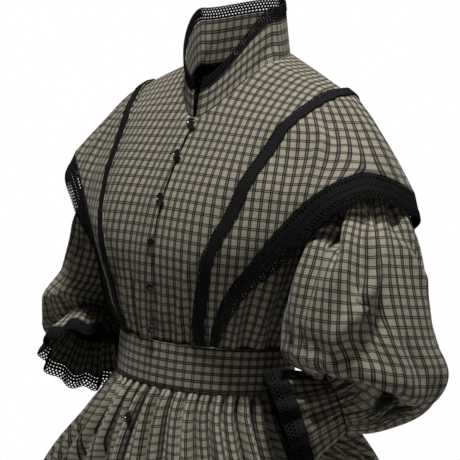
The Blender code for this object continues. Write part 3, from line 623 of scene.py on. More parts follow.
# Wings. A shaped flounce of the same cotton on each side, sewn to the bodice from the front waist
# over the shoulder to the back waist and flying out over the sleeve head, with the warp hanging
# straight down from the shoulder.
# Along its seam from the front waist to the back: the seam's place on the half panels, front and
# then back, and the place of the free edge.
WING_COLUMNS = ("at", "up", "across", "edge_x", "edge_y", "edge_z")
WING_ROWS = (
    (0.000, 0.010, 0.290, 0.0710, -0.1060, -0.3620),
    (0.061, 0.171, 0.300, 0.0840, -0.1190, -0.3250),
    (0.100, 0.264, 0.315, 0.1000, -0.1210, -0.2900),
    (0.143, 0.364, 0.330, 0.1220, -0.1160, -0.2570),
    (0.224, 0.517, 0.407, 0.1580, -0.1060, -0.2040),
    (0.291, 0.647, 0.483, 0.1890, -0.0950, -0.1670),
    (0.357, 0.756, 0.560, 0.2140, -0.0820, -0.1460),
    (0.424, 0.871, 0.590, 0.2370, -0.0590, -0.1340),
    (0.470, 0.940, 0.660, 0.2500, -0.0330, -0.1380),
    (0.510, 0.999, 0.765, 0.2570, -0.0030, -0.1470),
    (0.543, 0.940, 0.785, 0.2550, 0.0240, -0.1520),
    (0.586, 0.857, 0.755, 0.2440, 0.0500, -0.1580),
    (0.648, 0.735, 0.642, 0.2200, 0.0820, -0.1700),
    (0.730, 0.596, 0.465, 0.1800, 0.1070, -0.2130),
    (0.810, 0.456, 0.345, 0.1400, 0.1150, -0.2580),
    (0.900, 0.267, 0.297, 0.1020, 0.0960, -0.3100),
    (0.948, 0.155, 0.287, 0.0880, 0.0790, -0.3350),
    (1.000, 0.010, 0.280, 0.0750, 0.0665, -0.3620),
)
WING_TOP = 0.51
WING_TURN = 0.015
WING_LIFT = 0.0016
WING_RISE = 0.0022
WING_RISE_SPAN = 0.070
WING_CURL = 0.44
WING_FOLD_DEPTH = 1.15
SEAM_CALM = 0.014
# The right wing hangs lower and closer in, from its front up to past the shoulder.
RIGHT_EDGE_IN = 0.011
RIGHT_EDGE_DROP = 0.010
RIGHT_EDGE_START = (0.15, 0.36)
RIGHT_EDGE_END = (0.5, 0.7)
RIGHT_FOLD_SHIFT = 0.012
RIGHT_FOLD_HEIGHT = 0.9
RIGHT_FOLD_WIDTH = 1.1
LEFT_WING_FOLDS = (
    (((0.590, 0.30), (0.605, 0.502), (0.645, 0.645), (0.693, 0.803), (0.752, 0.983)), 0.0032, 0.0065),
    (((0.575, 0.36), (0.588, 0.56), (0.618, 0.72), (0.655, 0.90)), -0.0028, 0.0080),
    (((0.66, 0.42), (0.70, 0.60), (0.755, 0.80), (0.80, 0.99)), -0.0020, 0.0080),
    (((0.517, 0.10), (0.527, 0.425), (0.527, 0.659), (0.531, 0.926)), 0.0024, 0.0120),
    (((0.485, 0.15), (0.480, 0.45), (0.478, 0.70), (0.480, 0.95)), -0.0022, 0.0120),
    (((0.42, 0.20), (0.40, 0.50), (0.385, 0.75), (0.37, 0.98)), 0.0024, 0.0100),
    (((0.33, 0.25), (0.30, 0.55), (0.27, 0.97)), -0.0026, 0.0090),
    (((0.24, 0.20), (0.215, 0.60), (0.19, 0.97)), 0.0022, 0.0080),
    (((0.80, 0.10), (0.83, 0.45), (0.87, 0.96)), 0.0018, 0.0065),
)
RIGHT_WING_FOLDS = tuple(
    (
        tuple((1 - u + RIGHT_FOLD_SHIFT, v) for u, v in line),
        RIGHT_FOLD_HEIGHT * height,
        RIGHT_FOLD_WIDTH * width,
    )
    for line, height, width in LEFT_WING_FOLDS
)


def wing_seam(at, side):
    """The wing's seam on the bodice, and the direction along the bodice away from the neck."""
    up = read(WING_COLUMNS, WING_ROWS, "up", at)
    across = read(WING_COLUMNS, WING_ROWS, "across", at)
    share = ease(WING_TOP - WING_TURN, WING_TOP + WING_TURN, at)[..., None]
    front, back = front_half(across, up), back_half(across, up)
    out_front = normals(front_half, across, up)
    out_back = -normals(back_half, across, up)
    tangent_front = unit(front_half(across + STEP, up) - front)
    tangent_back = unit(back_half(across + STEP, up) - back)
    point = front * (1 - share) + back * share
    out = unit(out_front * (1 - share) + out_back * share)
    tangent = unit(tangent_front * (1 - share) + tangent_back * share)
    rise = WING_RISE * np.exp(-(((at - WING_TOP) / WING_RISE_SPAN) ** 2))
    lifted = point + (WING_LIFT + rise)[..., None] * out
    return mirrored(lifted, side), mirrored(tangent, side)


def wing(side):
    """A wing with its outside outward: v runs from its seam to its free edge, and u from the back
    waist to the front waist on the left side, and from the front to the back on the right."""

    def form(u, v):
        at = 1 - u if side > 0 else u
        seam, tangent = wing_seam(at, side)
        edge = stack(*(read(WING_COLUMNS, WING_ROWS, name, at) for name in WING_COLUMNS[3:]))
        edge = mirrored(edge, side)
        if side < 0:
            hang = ease(*RIGHT_EDGE_START, at) * (1 - ease(*RIGHT_EDGE_END, at))
            edge = edge + stack(RIGHT_EDGE_IN * hang, 0 * at, -RIGHT_EDGE_DROP * hang)
        length = np.linalg.norm(edge - seam, axis=-1, keepdims=True)
        bend = seam + tangent * length * WING_CURL
        t = v[..., None]
        return (1 - t) ** 2 * seam + 2 * t * (1 - t) * bend + t * t * edge

    return form


def hanging_grain(u, v, points, outward):
    return panel_grain(points, outward, stack(0 * u, 0 * u, 1 + 0 * u))


for side, word, folds in ((1, "left", LEFT_WING_FOLDS), (-1, "right", RIGHT_WING_FOLDS)):
    folds = [(line, WING_FOLD_DEPTH * height, width) for line, height, width in folds]
    lay_cloth(f"cotton_wing_{word}", wing(side), 220, 40, hanging_grain, [f"wing_{word}"],
              cotton, folds=folds, calm=SEAM_CALM)

# Black lace. Cotton lace laid flat on the wing along its seam, with a row of eyelets beside the
# seam and a scalloped outer edge, and a wider one sewn on at the wing's free edge: a dense band
# with eyelets, then rows of thread rings, of which the last are small.
LACE = 0.0010
LACE_INSET = 0.0016
LACE_CLEARANCE = 0.0012
SEAM_LACE_WIDTH = 0.019
EDGE_LACE_WIDTH = 0.031
EDGE_LACE_DROOP = 0.80
EDGE_LACE_LIFT = 0.10
EDGE_LACE_ENDS = 0.25
EDGE_LACE_TAPER = 0.20
EDGE_LACE_NARROW = 0.40
LACE_ROW = 0.0015
LACE_WALL = 0.8 * LACE
EYELET_PITCH = 0.0048
# The steps, along and across, in which a form is measured before a flat mesh is bent onto it.
STEPS_ALONG = 600
STEPS_ACROSS = 12
SCALLOP_PITCH = 0.022
SCALLOP_DEPTH = 0.0007
# Bands: their inner and outer edge, which of their rows are eyelets, and how deep they scallop.
# Rings: how far across the lace they lie, their radius, their thread's radius and their pitch.
SEAM_BAND = (0.0012, 0.0180, (1,), SCALLOP_DEPTH)
SEAM_RINGS = ((0.0014, 0.0010, 0.00040, 0.0048),)
EDGE_BAND = (0.0, 0.0205, (2, 3, 9), 0.0)
EDGE_RINGS = (
    (0.0222, 0.0024, 0.00110, 0.0052),
    (0.0260, 0.0024, 0.00100, 0.0052),
    (0.0294, 0.0016, 0.00070, 0.0052),
)


def black_thread(name):
    material = bpy.data.materials.new(name)
    material.use_nodes = True
    tree = material.node_tree
    shader = tree.nodes["Principled BSDF"]
    place = tree.nodes.new("ShaderNodeTexCoord")
    noise = tree.nodes.new("ShaderNodeTexNoise")
    noise.inputs["Scale"].default_value = 1400
    noise.inputs["Detail"].default_value = 3
    tint = tree.nodes.new("ShaderNodeValToRGB")
    tint.color_ramp.elements[0].position = 0.35
    tint.color_ramp.elements[0].color = (0.0020, 0.0020, 0.0025, 1)
    tint.color_ramp.elements[1].position = 0.75
    tint.color_ramp.elements[1].color = (0.0085, 0.0080, 0.0090, 1)
    bump = tree.nodes.new("ShaderNodeBump")
    bump.inputs["Strength"].default_value = 0.6
    bump.inputs["Distance"].default_value = 0.0005
    tree.links.new(place.outputs["Object"], noise.inputs["Vector"])
    tree.links.new(noise.outputs["Fac"], tint.inputs["Fac"])
    tree.links.new(tint.outputs["Color"], shader.inputs["Base Color"])
    tree.links.new(noise.outputs["Fac"], bump.inputs["Height"])
    tree.links.new(bump.outputs["Normal"], shader.inputs["Normal"])
    shader.inputs["Roughness"].default_value = 0.85
    shader.inputs["Specular IOR Level"].default_value = 0.25
    return material


black_lace = black_thread("black cotton lace")


def repeated(bm, pitch, count, merge):
    """A flat unit set out count times along X, as a mesh."""
    unit_mesh = bpy.data.meshes.new("unit")
    bm.to_mesh(unit_mesh)
    bm.free()
    thing = bpy.data.objects.new("unit", unit_mesh)
    scene.collection.objects.link(thing)
    row = thing.modifiers.new("row", "ARRAY")
    row.count = count
    row.use_relative_offset = False
    row.use_constant_offset = True
    row.constant_offset_displace = (pitch, 0, 0)
    row.use_merge_vertices = merge
    row.merge_threshold = 1e-5
    bpy.context.view_layer.update()
    made = bpy.data.meshes.new_from_object(
        thing.evaluated_get(bpy.context.evaluated_depsgraph_get())
    )
    bpy.data.objects.remove(thing)
    return made


def lay_flat(bm, form, width, length):
    """Bends a flat mesh onto form: x runs along it, y across it and z off its face."""
    line_u, line_v = np.linspace(0, 1, STEPS_ALONG + 1), np.linspace(0, 1, STEPS_ACROSS + 1)
    u, v = np.meshgrid(line_u, line_v, indexing="ij")
    table = form(u, v)
    face = unit(np.cross(np.gradient(table, axis=0), np.gradient(table, axis=1)))
    middle = table[:, STEPS_ACROSS // 2]
    run = np.concatenate([[0], np.cumsum(np.linalg.norm(np.diff(middle, axis=0), axis=-1))])
    flat = np.array([vert.co for vert in bm.verts])
    i = np.interp(flat[:, 0] / length * run[-1], run, np.arange(STEPS_ALONG + 1))
    j = flat[:, 1] / width * STEPS_ACROSS
    low_i = np.clip(i.astype(int), 0, STEPS_ALONG - 1)
    low_j = np.clip(np.floor(j).astype(int), 0, STEPS_ACROSS - 1)
    part_i, part_j = (i - low_i)[:, None], (j - low_j)[:, None]

    def between(values):
        near = values[low_i, low_j] * (1 - part_i) + values[low_i + 1, low_j] * part_i
        far = values[low_i, low_j + 1] * (1 - part_i) + values[low_i + 1, low_j + 1] * part_i
        return near * (1 - part_j) + far * part_j

    for vert, spot in zip(bm.verts, between(table) + flat[:, 2:] * unit(between(face))):
        vert.co = spot


def form_length(form):
    line = form(np.linspace(0, 1, STEPS_ALONG + 1), np.full(STEPS_ALONG + 1, 0.5))
    return float(np.linalg.norm(np.diff(line, axis=0), axis=-1).sum())


def thread_ring(radius, thread):
    bm = bmesh.new()
    place = Matrix.Translation((radius, 0, 0)) @ Matrix.Rotation(math.pi / 2, 4, "X")
    bmesh.ops.create_circle(bm, segments=4, radius=thread, matrix=place)
    bmesh.ops.spin(bm, geom=bm.verts[:] + bm.edges[:], cent=(0, 0, 0), axis=(0, 0, 1),
                   angle=2 * math.pi, steps=10, use_merge=True)
    bmesh.ops.recalc_face_normals(bm, faces=bm.faces)
    return bm


def finish_piece(name, bm, material, nodes):
    mesh = bpy.data.meshes.new(name)
    bm.to_mesh(mesh)
    bm.free()
    mesh.materials.append(material)
    mesh.shade_smooth()
    piece = bpy.data.objects.new(name, mesh)
    scene.collection.objects.link(piece)
    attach(piece, "root")
    if nodes:
        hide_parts(*nodes)
    return piece


def lace(name, form, width, band, rings, node):
    """Lace laid on a form: a band with rows of eyelets, and rows of thread rings."""
    length = form_length(form)
    count = round(length / EYELET_PITCH)
    pitch = length / count
    inner, outer, eyelets, scallop = band
    rows = round((outer - inner) / LACE_ROW)
    bm = bmesh.new()
    bmesh.ops.create_grid(bm, x_segments=4, y_segments=rows, size=0.5)
    bmesh.ops.scale(bm, verts=bm.verts, vec=(pitch, outer - inner, 1))
    bmesh.ops.translate(bm, verts=bm.verts, vec=(pitch / 2, (inner + outer) / 2, 0))
    step = (outer - inner) / rows
    holes = []
    for face in bm.faces:
        centre = face.calc_center_median()
        row = int((centre.y - inner) / step)
        if row in eyelets and pitch / 4 < centre.x < 3 * pitch / 4:
            holes.append(face)
    bmesh.ops.delete(bm, geom=holes, context="FACES")
    flat = repeated(bm, pitch, count, merge=True)
    bm = bmesh.new()
    bm.from_mesh(flat)
    for vert in bm.verts:
        outward = max(0.0, (vert.co.y - inner) / (outer - inner) - 0.5) * 2
        vert.co.y += scallop * outward * math.cos(2 * math.pi * vert.co.x / SCALLOP_PITCH)
    bmesh.ops.solidify(bm, geom=bm.faces[:], thickness=LACE_WALL)
    bmesh.ops.recalc_face_normals(bm, faces=bm.faces)
    for number, (across, radius, thread, ring_pitch) in enumerate(rings):
        ring_count = round(length / ring_pitch)
        ring = thread_ring(radius, thread)
        shift = (0.5 + 0.5 * (number % 2)) * length / ring_count
        bmesh.ops.translate(ring, verts=ring.verts, vec=(shift, across, -LACE_WALL / 2))
        bm.from_mesh(repeated(ring, length / ring_count, ring_count - number % 2, merge=False))
    lay_flat(bm, form, width, length)
    return finish_piece(name, bm, black_lace, [node])


def raised(form, height):
    """The same surface moved out by height."""
    return lambda u, v: form(u, v) + height * normals(form, u, v)


def seam_strip(side):
    """The strip of the wing beside its seam that the lace covers."""
    form = wing(side)

    def strip(u, v):
        across = np.linalg.norm(form(u, np.ones_like(u)) - form(u, np.zeros_like(u)), axis=-1)
        return form(u, v * SEAM_LACE_WIDTH / np.maximum(across, SEAM_LACE_WIDTH))

    return raised(strip, LACE + LACE_CLEARANCE)


def edge_strip(side):
    """The lace that hangs on from the wing's free edge."""
    form = wing(side)

    def strip(u, v):
        edge = form(u, np.ones_like(u))
        onward = unit(edge - form(u, np.full_like(u, 0.9)))
        away = ease(0, EDGE_LACE_ENDS, u) * (1 - ease(1 - EDGE_LACE_ENDS, 1, u))
        droop = EDGE_LACE_DROOP * away - EDGE_LACE_LIFT * (1 - away)
        fall = unit(onward - stack(0 * u, 0 * u, droop))
        full = ease(0, EDGE_LACE_TAPER, u) * (1 - ease(1 - EDGE_LACE_TAPER, 1, u))
        share = EDGE_LACE_NARROW + (1 - EDGE_LACE_NARROW) * full
        reach = LACE_INSET + v * EDGE_LACE_WIDTH * share
        return edge + fall * reach[..., None]

    return strip


for side, word in ((1, "left"), (-1, "right")):
    lace(f"lace_on_seam_{word}", seam_strip(side), SEAM_LACE_WIDTH, SEAM_BAND, SEAM_RINGS,
         f"seam_lace_{word}")
    lace(f"lace_on_edge_{word}", edge_strip(side), EDGE_LACE_WIDTH, EDGE_BAND, EDGE_RINGS,
         f"edge_lace_{word}")

# Sleeves. Full puffed sleeves of the checked cotton, each one cloth closed to a tube, gathered into
# the armhole and on to an elastic below the elbow, over which the cloth bags. The left sleeve
# reaches forward, and the right one hangs closer in.
# Along the arm from the shoulder to the elastic: its middle, the way it runs, and the sleeve's radii.
SLEEVE_COLUMNS = ("along", "x", "y", "z", "run_x", "run_y", "run_z", "outer", "body", "front", "back")
LEFT_SLEEVE = (
    (0.00, 0.172, 0.002, -0.127, 1.00, 0.00, -0.15, 0.074, 0.074, 0.054, 0.054),
    (0.10, 0.190, -0.002, -0.148, 0.90, 0.00, -0.45, 0.054, 0.062, 0.052, 0.058),
    (0.20, 0.206, -0.008, -0.180, 0.50, -0.02, -0.86, 0.046, 0.044, 0.052, 0.060),
    (0.33, 0.222, -0.021, -0.225, 0.15, -0.04, -1.00, 0.060, 0.054, 0.084, 0.066),
    (0.46, 0.227, -0.026, -0.272, 0.04, -0.04, -1.00, 0.074, 0.073, 0.094, 0.074),
    (0.59, 0.230, -0.023, -0.316, 0.02, -0.04, -1.00, 0.086, 0.086, 0.098, 0.082),
    (0.70, 0.237, -0.014, -0.350, -0.04, -0.08, -1.00, 0.094, 0.086, 0.094, 0.084),
    (0.80, 0.242, -0.010, -0.376, -0.26, -0.30, -0.92, 0.078, 0.074, 0.078, 0.074),
    (0.90, 0.234, -0.014, -0.394, -0.56, -0.52, -0.65, 0.053, 0.052, 0.056, 0.056),
    (0.95, 0.224, -0.022, -0.403, -0.65, -0.60, -0.47, 0.044, 0.042, 0.044, 0.046),
    (1.00, 0.212, -0.032, -0.411, -0.68, -0.62, -0.39, 0.036, 0.034, 0.035, 0.036),
)
RIGHT_SLEEVE = (
    (0.00, -0.172, 0.002, -0.127, -1.00, 0.00, -0.15, 0.074, 0.074, 0.054, 0.054),
    (0.10, -0.187, 0.002, -0.148, -0.90, 0.02, -0.45, 0.053, 0.060, 0.052, 0.058),
    (0.20, -0.198, 0.008, -0.180, -0.50, 0.06, -0.87, 0.040, 0.040, 0.048, 0.062),
    (0.33, -0.205, 0.014, -0.226, -0.15, 0.04, -1.00, 0.047, 0.037, 0.050, 0.078),
    (0.46, -0.212, 0.019, -0.272, -0.08, 0.00, -1.00, 0.054, 0.054, 0.052, 0.086),
    (0.59, -0.224, 0.019, -0.320, -0.04, -0.06, -1.00, 0.060, 0.070, 0.060, 0.088),
    (0.70, -0.238, 0.012, -0.370, 0.10, -0.30, -0.95, 0.080, 0.074, 0.065, 0.084),
    (0.80, -0.240, 0.010, -0.397, 0.26, -0.48, -0.84, 0.080, 0.056, 0.048, 0.078),
    (0.90, -0.227, 0.004, -0.406, 0.36, -0.58, -0.73, 0.064, 0.044, 0.041, 0.060),
    (0.95, -0.216, -0.006, -0.400, 0.42, -0.64, -0.64, 0.049, 0.039, 0.038, 0.047),
    (1.00, -0.206, -0.017, -0.390, 0.45, -0.68, -0.58, 0.036, 0.034, 0.035, 0.036),
)
UNDERARM = 0.50
SLEEVE_BLEND = 0.16
ARMHOLE_GAP = 0.0016
HEAD_DROP = 0.0040
HEAD_FOLDS = 10
HEAD_FOLD_DEPTH = 0.0080
CUFF_FOLDS = 24
CUFF_FOLD_DEPTH = 0.0046
HEAD_START = (0.16, 0.30)
HEAD_END = (0.35, 0.80)
HEAD_INSIDE = 0.35
CUFF_START = (0.74, 0.97)
SLEEVE_CLOTH_WIDTHS = {1: 0.51, -1: 0.46}
# The heights and widths of all of the sleeves' folds are multiplied by these.
SLEEVE_FOLD_DEPTH = 1.75
SLEEVE_FOLD_WIDTH = 1.2
LEFT_SLEEVE_FOLDS = (
    (((0.810, 0.800), (0.880, 0.825), (0.970, 0.815)), 0.0230, 0.0260),
    (((0.545, 0.785), (0.630, 0.765), (0.740, 0.735), (0.850, 0.710)), 0.0080, 0.0120),
    (((0.500, 0.870), (0.600, 0.870), (0.700, 0.865), (0.780, 0.850)), -0.0120, 0.0160),
    (((0.756, 0.150), (0.752, 0.261), (0.719, 0.331), (0.709, 0.398)), -0.0090, 0.0080),
    (((0.776, 0.290), (0.778, 0.378), (0.780, 0.431), (0.796, 0.570)), -0.0060, 0.0085),
    (((0.711, 0.230), (0.703, 0.341), (0.703, 0.430)), 0.0050, 0.0060),
    (((0.621, 0.150), (0.619, 0.244), (0.617, 0.290)), -0.0050, 0.0070),
    (((0.513, 0.150), (0.531, 0.247), (0.535, 0.300)), -0.0045, 0.0070),
    (((0.596, 0.210), (0.600, 0.328), (0.603, 0.410)), -0.0040, 0.0055),
    (((0.618, 0.240), (0.618, 0.328), (0.613, 0.408)), 0.0042, 0.0060),
    (((0.608, 0.395), (0.625, 0.438), (0.657, 0.508), (0.685, 0.565), (0.709, 0.629), (0.721, 0.690)),
     0.0075, 0.0090),
    (((0.600, 0.400), (0.609, 0.512), (0.624, 0.570), (0.650, 0.670)), -0.0085, 0.0100),
    (((0.505, 0.310), (0.433, 0.435), (0.418, 0.560)), -0.0045, 0.0080),
    (((0.520, 0.330), (0.455, 0.450), (0.445, 0.580)), 0.0035, 0.0080),
    (((0.835, 0.250), (0.845, 0.400), (0.850, 0.560)), 0.0050, 0.0090),
    (((0.885, 0.220), (0.895, 0.360), (0.900, 0.520)), -0.0050, 0.0080),
    (((0.560, 0.620), (0.555, 0.690), (0.560, 0.760)), -0.0035, 0.0080),
    (((0.470, 0.640), (0.475, 0.720), (0.490, 0.790)), 0.0035, 0.0080),
    (((0.800, 0.600), (0.790, 0.660), (0.782, 0.740)), -0.0030, 0.0035),
    (((0.845, 0.610), (0.835, 0.670), (0.822, 0.745)), -0.0030, 0.0035),
    (((0.885, 0.605), (0.872, 0.670), (0.860, 0.740)), 0.0028, 0.0035),
    (((0.760, 0.640), (0.755, 0.700), (0.750, 0.770)), -0.0030, 0.0040),
    (((0.600, 0.770), (0.610, 0.840), (0.625, 0.900)), -0.0040, 0.0060),
    (((0.680, 0.790), (0.690, 0.850), (0.700, 0.920)), -0.0036, 0.0050),
    (((0.520, 0.790), (0.535, 0.850), (0.550, 0.920)), -0.0036, 0.0060),
    (((0.400, 0.180), (0.385, 0.280), (0.370, 0.400)), -0.0060, 0.0080),
    (((0.330, 0.170), (0.325, 0.300), (0.340, 0.450)), 0.0055, 0.0090),
    (((0.270, 0.180), (0.255, 0.320), (0.230, 0.500)), -0.0065, 0.0090),
    (((0.200, 0.210), (0.185, 0.350), (0.160, 0.530)), 0.0050, 0.0090),
    (((0.120, 0.220), (0.110, 0.380), (0.130, 0.520)), -0.0050, 0.0080),
    (((0.360, 0.480), (0.330, 0.600), (0.300, 0.720)), -0.0055, 0.0100),
    (((0.250, 0.560), (0.235, 0.660), (0.210, 0.770)), 0.0050, 0.0090),
    (((0.150, 0.600), (0.130, 0.690), (0.100, 0.790)), -0.0050, 0.0080),
)
RIGHT_SLEEVE_FOLDS = (
    (((0.260, 0.360), (0.291, 0.438), (0.319, 0.575), (0.300, 0.702)), -0.0060, 0.0085),
    (((0.200, 0.380), (0.235, 0.480), (0.262, 0.600), (0.255, 0.690)), 0.0050, 0.0080),
    (((0.120, 0.430), (0.154, 0.562), (0.182, 0.700)), -0.0050, 0.0080),
    (((0.340, 0.300), (0.375, 0.420), (0.385, 0.560)), 0.0045, 0.0080),
    (((0.270, 0.180), (0.275, 0.260), (0.270, 0.340)), -0.0060, 0.0070),
    (((0.350, 0.160), (0.360, 0.260), (0.350, 0.360)), 0.0045, 0.0070),
    (((0.430, 0.160), (0.445, 0.260), (0.450, 0.400)), -0.0050, 0.0070),
    (((0.420, 0.460), (0.430, 0.580), (0.410, 0.700)), -0.0050, 0.0090),
    (((0.500, 0.250), (0.515, 0.400), (0.505, 0.580)), 0.0045, 0.0090),
    (((0.560, 0.160), (0.570, 0.300), (0.580, 0.430)), -0.0055, 0.0080),
    (((0.640, 0.180), (0.650, 0.340), (0.640, 0.500)), 0.0050, 0.0090),
    (((0.720, 0.180), (0.735, 0.320), (0.760, 0.480)), -0.0060, 0.0090),
    (((0.810, 0.210), (0.820, 0.360), (0.840, 0.520)), 0.0050, 0.0090),
    (((0.620, 0.540), (0.640, 0.660), (0.670, 0.770)), -0.0055, 0.0100),
    (((0.740, 0.560), (0.750, 0.660), (0.780, 0.770)), 0.0050, 0.0090),
    (((0.240, 0.720), (0.235, 0.790), (0.240, 0.860)), -0.0036, 0.0050),
    (((0.330, 0.730), (0.325, 0.800), (0.320, 0.870)), -0.0036, 0.0050),
    (((0.160, 0.740), (0.165, 0.800), (0.175, 0.870)), -0.0034, 0.0050),
)


def sleeve_rows(side):
    return LEFT_SLEEVE if side > 0 else RIGHT_SLEEVE


def sleeve_frame(side, along):
    """At each place along the arm: the centre, the outward and the forward directions."""
    rows = sleeve_rows(side)
    marks = np.linspace(0, 1, 81)
    centre = stack(*(read(SLEEVE_COLUMNS, rows, name, along) for name in ("x", "y", "z")))
    run = unit(stack(*(read(SLEEVE_COLUMNS, rows, n, marks) for n in ("run_x", "run_y", "run_z"))))
    outward = np.zeros_like(run)
    current = np.array([0.0, 0.0, 1.0])
    for i, way in enumerate(run):
        current = current - way * (current @ way)
        current = current / np.linalg.norm(current)
        outward[i] = current
    forward = np.cross(run, outward) * side
    turn = [stack(*(np.interp(along, marks, w[:, k]) for k in range(3))) for w in (outward, forward)]
    return centre, unit(turn[0]), unit(turn[1])


def armhole(side, u):
    """The loop of the armhole: the underarm at u 0, the front at 0.25 and the shoulder at 0.5."""
    up = UNDERARM + (1 - UNDERARM) * (1 - np.abs(1 - 2 * u))
    ones = np.ones_like(u)
    front, back = half_panel(FRONT_ROWS, ones, up), half_panel(BACK_ROWS, ones, up)
    point = np.where((u < 0.5)[..., None], front, back)
    drop = HEAD_DROP * (1 - np.abs(1 - 2 * u)) ** 4
    return mirrored(point + stack(ARMHOLE_GAP + 0 * u, 0 * u, -drop), side)


def sleeve_ring(side, u, along, wave=0.0):
    """A point on the sleeve's section at along, with its radius changed by wave."""
    rows = sleeve_rows(side)
    centre, outward, forward = sleeve_frame(side, along)
    angle = 2 * math.pi * u
    out, front = -np.cos(angle), np.sin(angle)
    radii = (read(SLEEVE_COLUMNS, rows, name, along) for name in SLEEVE_COLUMNS[7:])
    far, near, fore, aft = radii
    out = out * (np.where(out > 0, far, near) + wave)
    front = front * (np.where(front > 0, fore, aft) + wave)
    return centre + out[..., None] * outward + front[..., None] * forward


def gathered(count, around, seed):
    """Uneven gathers once round a tube: rounded ridges with narrow valleys between, from 1 to -1."""
    turn = 2 * math.pi * around
    phase = count * turn + 0.9 * np.sin(3 * turn + seed) + 0.7 * np.sin(7 * turn + 2 * seed)
    depth = 0.78 + 0.22 * np.sin(5 * turn + 3 * seed)
    return depth * (2 * np.sqrt(np.abs(np.cos(phase / 2))) - 1.2)


def sleeve(side):
    """A sleeve from the armhole (v 0) to the elastic (v 1)."""

    def form(u, v):
        around = 1 - u if side > 0 else u
        head = ease(*HEAD_START, v) * (1 - ease(*HEAD_END, v))
        outside = ease(0.15, 0.4, around) * (1 - ease(0.7, 0.95, around))
        top = HEAD_INSIDE + (1 - HEAD_INSIDE) * outside
        head_wave = HEAD_FOLD_DEPTH * head * top * gathered(HEAD_FOLDS, around, side)
        cuff = ease(*CUFF_START, v)
        cuff_wave = CUFF_FOLD_DEPTH * cuff * gathered(CUFF_FOLDS, around, 2 * side)
        ring = sleeve_ring(side, around, v, head_wave + cuff_wave)
        share = ease(0, SLEEVE_BLEND, v)[..., None]
        return armhole(side, around) * (1 - share) + ring * share

    return form


def sleeve_grain(side):
    """The warp runs down the arm, and the weft is level round the widest part of the sleeve."""

    def grain_of(u, v, points, outward):
        steps = np.linalg.norm(np.diff(points, axis=1), axis=-1)
        run = np.concatenate([np.zeros((len(steps), 1)), np.cumsum(steps, axis=1)], axis=1)
        level = round(0.5 * (run.shape[1] - 1))
        return np.stack([u * SLEEVE_CLOTH_WIDTHS[side], run[:, level : level + 1] - run], -1)

    return grain_of


for side, word, folds in ((1, "left", LEFT_SLEEVE_FOLDS), (-1, "right", RIGHT_SLEEVE_FOLDS)):
    folds = [(line, SLEEVE_FOLD_DEPTH * height, SLEEVE_FOLD_WIDTH * width)
             for line, height, width in folds]
    lay_cloth(f"cotton_sleeve_{word}", sleeve(side), 200, 100, sleeve_grain(side),
              [f"top_sleeve_{word}", f"under_sleeve_{word}"], cotton, tube=True, folds=folds)

# Cuff frills. Past the elastic the sleeve's cloth goes on as a short flared frill, edged with
# gathered black lace: a band with eyelets, then rows of rings.
FRILL_GAP = 0.0018
FRILL_LENGTH = 0.046
FRILL_REACH = 0.054
FRILL_WAVE = 0.0050
FRILL_WAVES = 10
FRILL_EASE = 0.036
SEAM_GAP = 0.0003
ELASTIC_REACH = 0.0352
CUFF_LACE_LENGTH = 0.024
CUFF_LACE_REACH = 0.057
CUFF_BAND = (0.0, 0.0120, (1, 5), 0.0)
CUFF_RINGS = (
    (0.0138, 0.0024, 0.00130, 0.0050),
    (0.0178, 0.0024, 0.00130, 0.0050),
    (0.0216, 0.0021, 0.00100, 0.0050),
)
FRILL_CLOTH_WIDTH = 0.42


def frill(side, start, length, reach, waves):
    """A flared tube round the forearm, from start metres past the elastic and length long.

    Reach and waves are pairs, at its start and at its end: the radius, and the depth of its waves.
    """

    def form(u, v):
        around = 1 - u if side > 0 else u
        centre, outward, forward = sleeve_frame(side, np.ones_like(around))
        run = np.cross(outward, forward) * side
        angle = 2 * math.pi * around
        past = start + length * v
        small = gathered(CUFF_FOLDS, around, 2 * side) * CUFF_FOLD_DEPTH
        small = small * (1 - np.clip(past / FRILL_EASE, 0, 1))
        phase = FRILL_WAVES * angle + 0.7 * np.sin(3 * angle + side)
        wide = np.cos(phase) * (waves[0] + (waves[1] - waves[0]) * v)
        radius = reach[0] + (reach[1] - reach[0]) * v + small + wide
        middle = centre + run * past[..., None]
        out, front = -np.cos(angle) * radius, np.sin(angle) * radius
        return middle + out[..., None] * outward + front[..., None] * forward

    return form


def frill_grain(u, v, points, outward):
    return np.stack([u * FRILL_CLOTH_WIDTH, -v * FRILL_LENGTH], -1)


for side, word in ((1, "left"), (-1, "right")):
    flare = frill(side, FRILL_GAP, FRILL_LENGTH, (ELASTIC_REACH, FRILL_REACH), (0, FRILL_WAVE))
    lay_cloth(f"cotton_frill_{word}", flare, 180, 24, frill_grain, [f"cuff_frill_{word}"],
              cotton, tube=True)
    edging = frill(side, FRILL_GAP + FRILL_LENGTH + SEAM_GAP, CUFF_LACE_LENGTH,
                   (FRILL_REACH, CUFF_LACE_REACH), (FRILL_WAVE, FRILL_WAVE))
    lace(f"lace_on_cuff_{word}", edging, CUFF_LACE_LENGTH, CUFF_BAND, CUFF_RINGS,
         f"cuff_lace_{word}")

# Collar. A stand collar of doubled cotton with its warp running lengthwise, sewn on round the
# neckline, higher at the back, and edged along its top with lace: a band and rows of rings.
COLLAR_HEIGHT = 0.047
COLLAR_FRONT_HEIGHT = 0.031
COLLAR_CLOTH = 0.0018
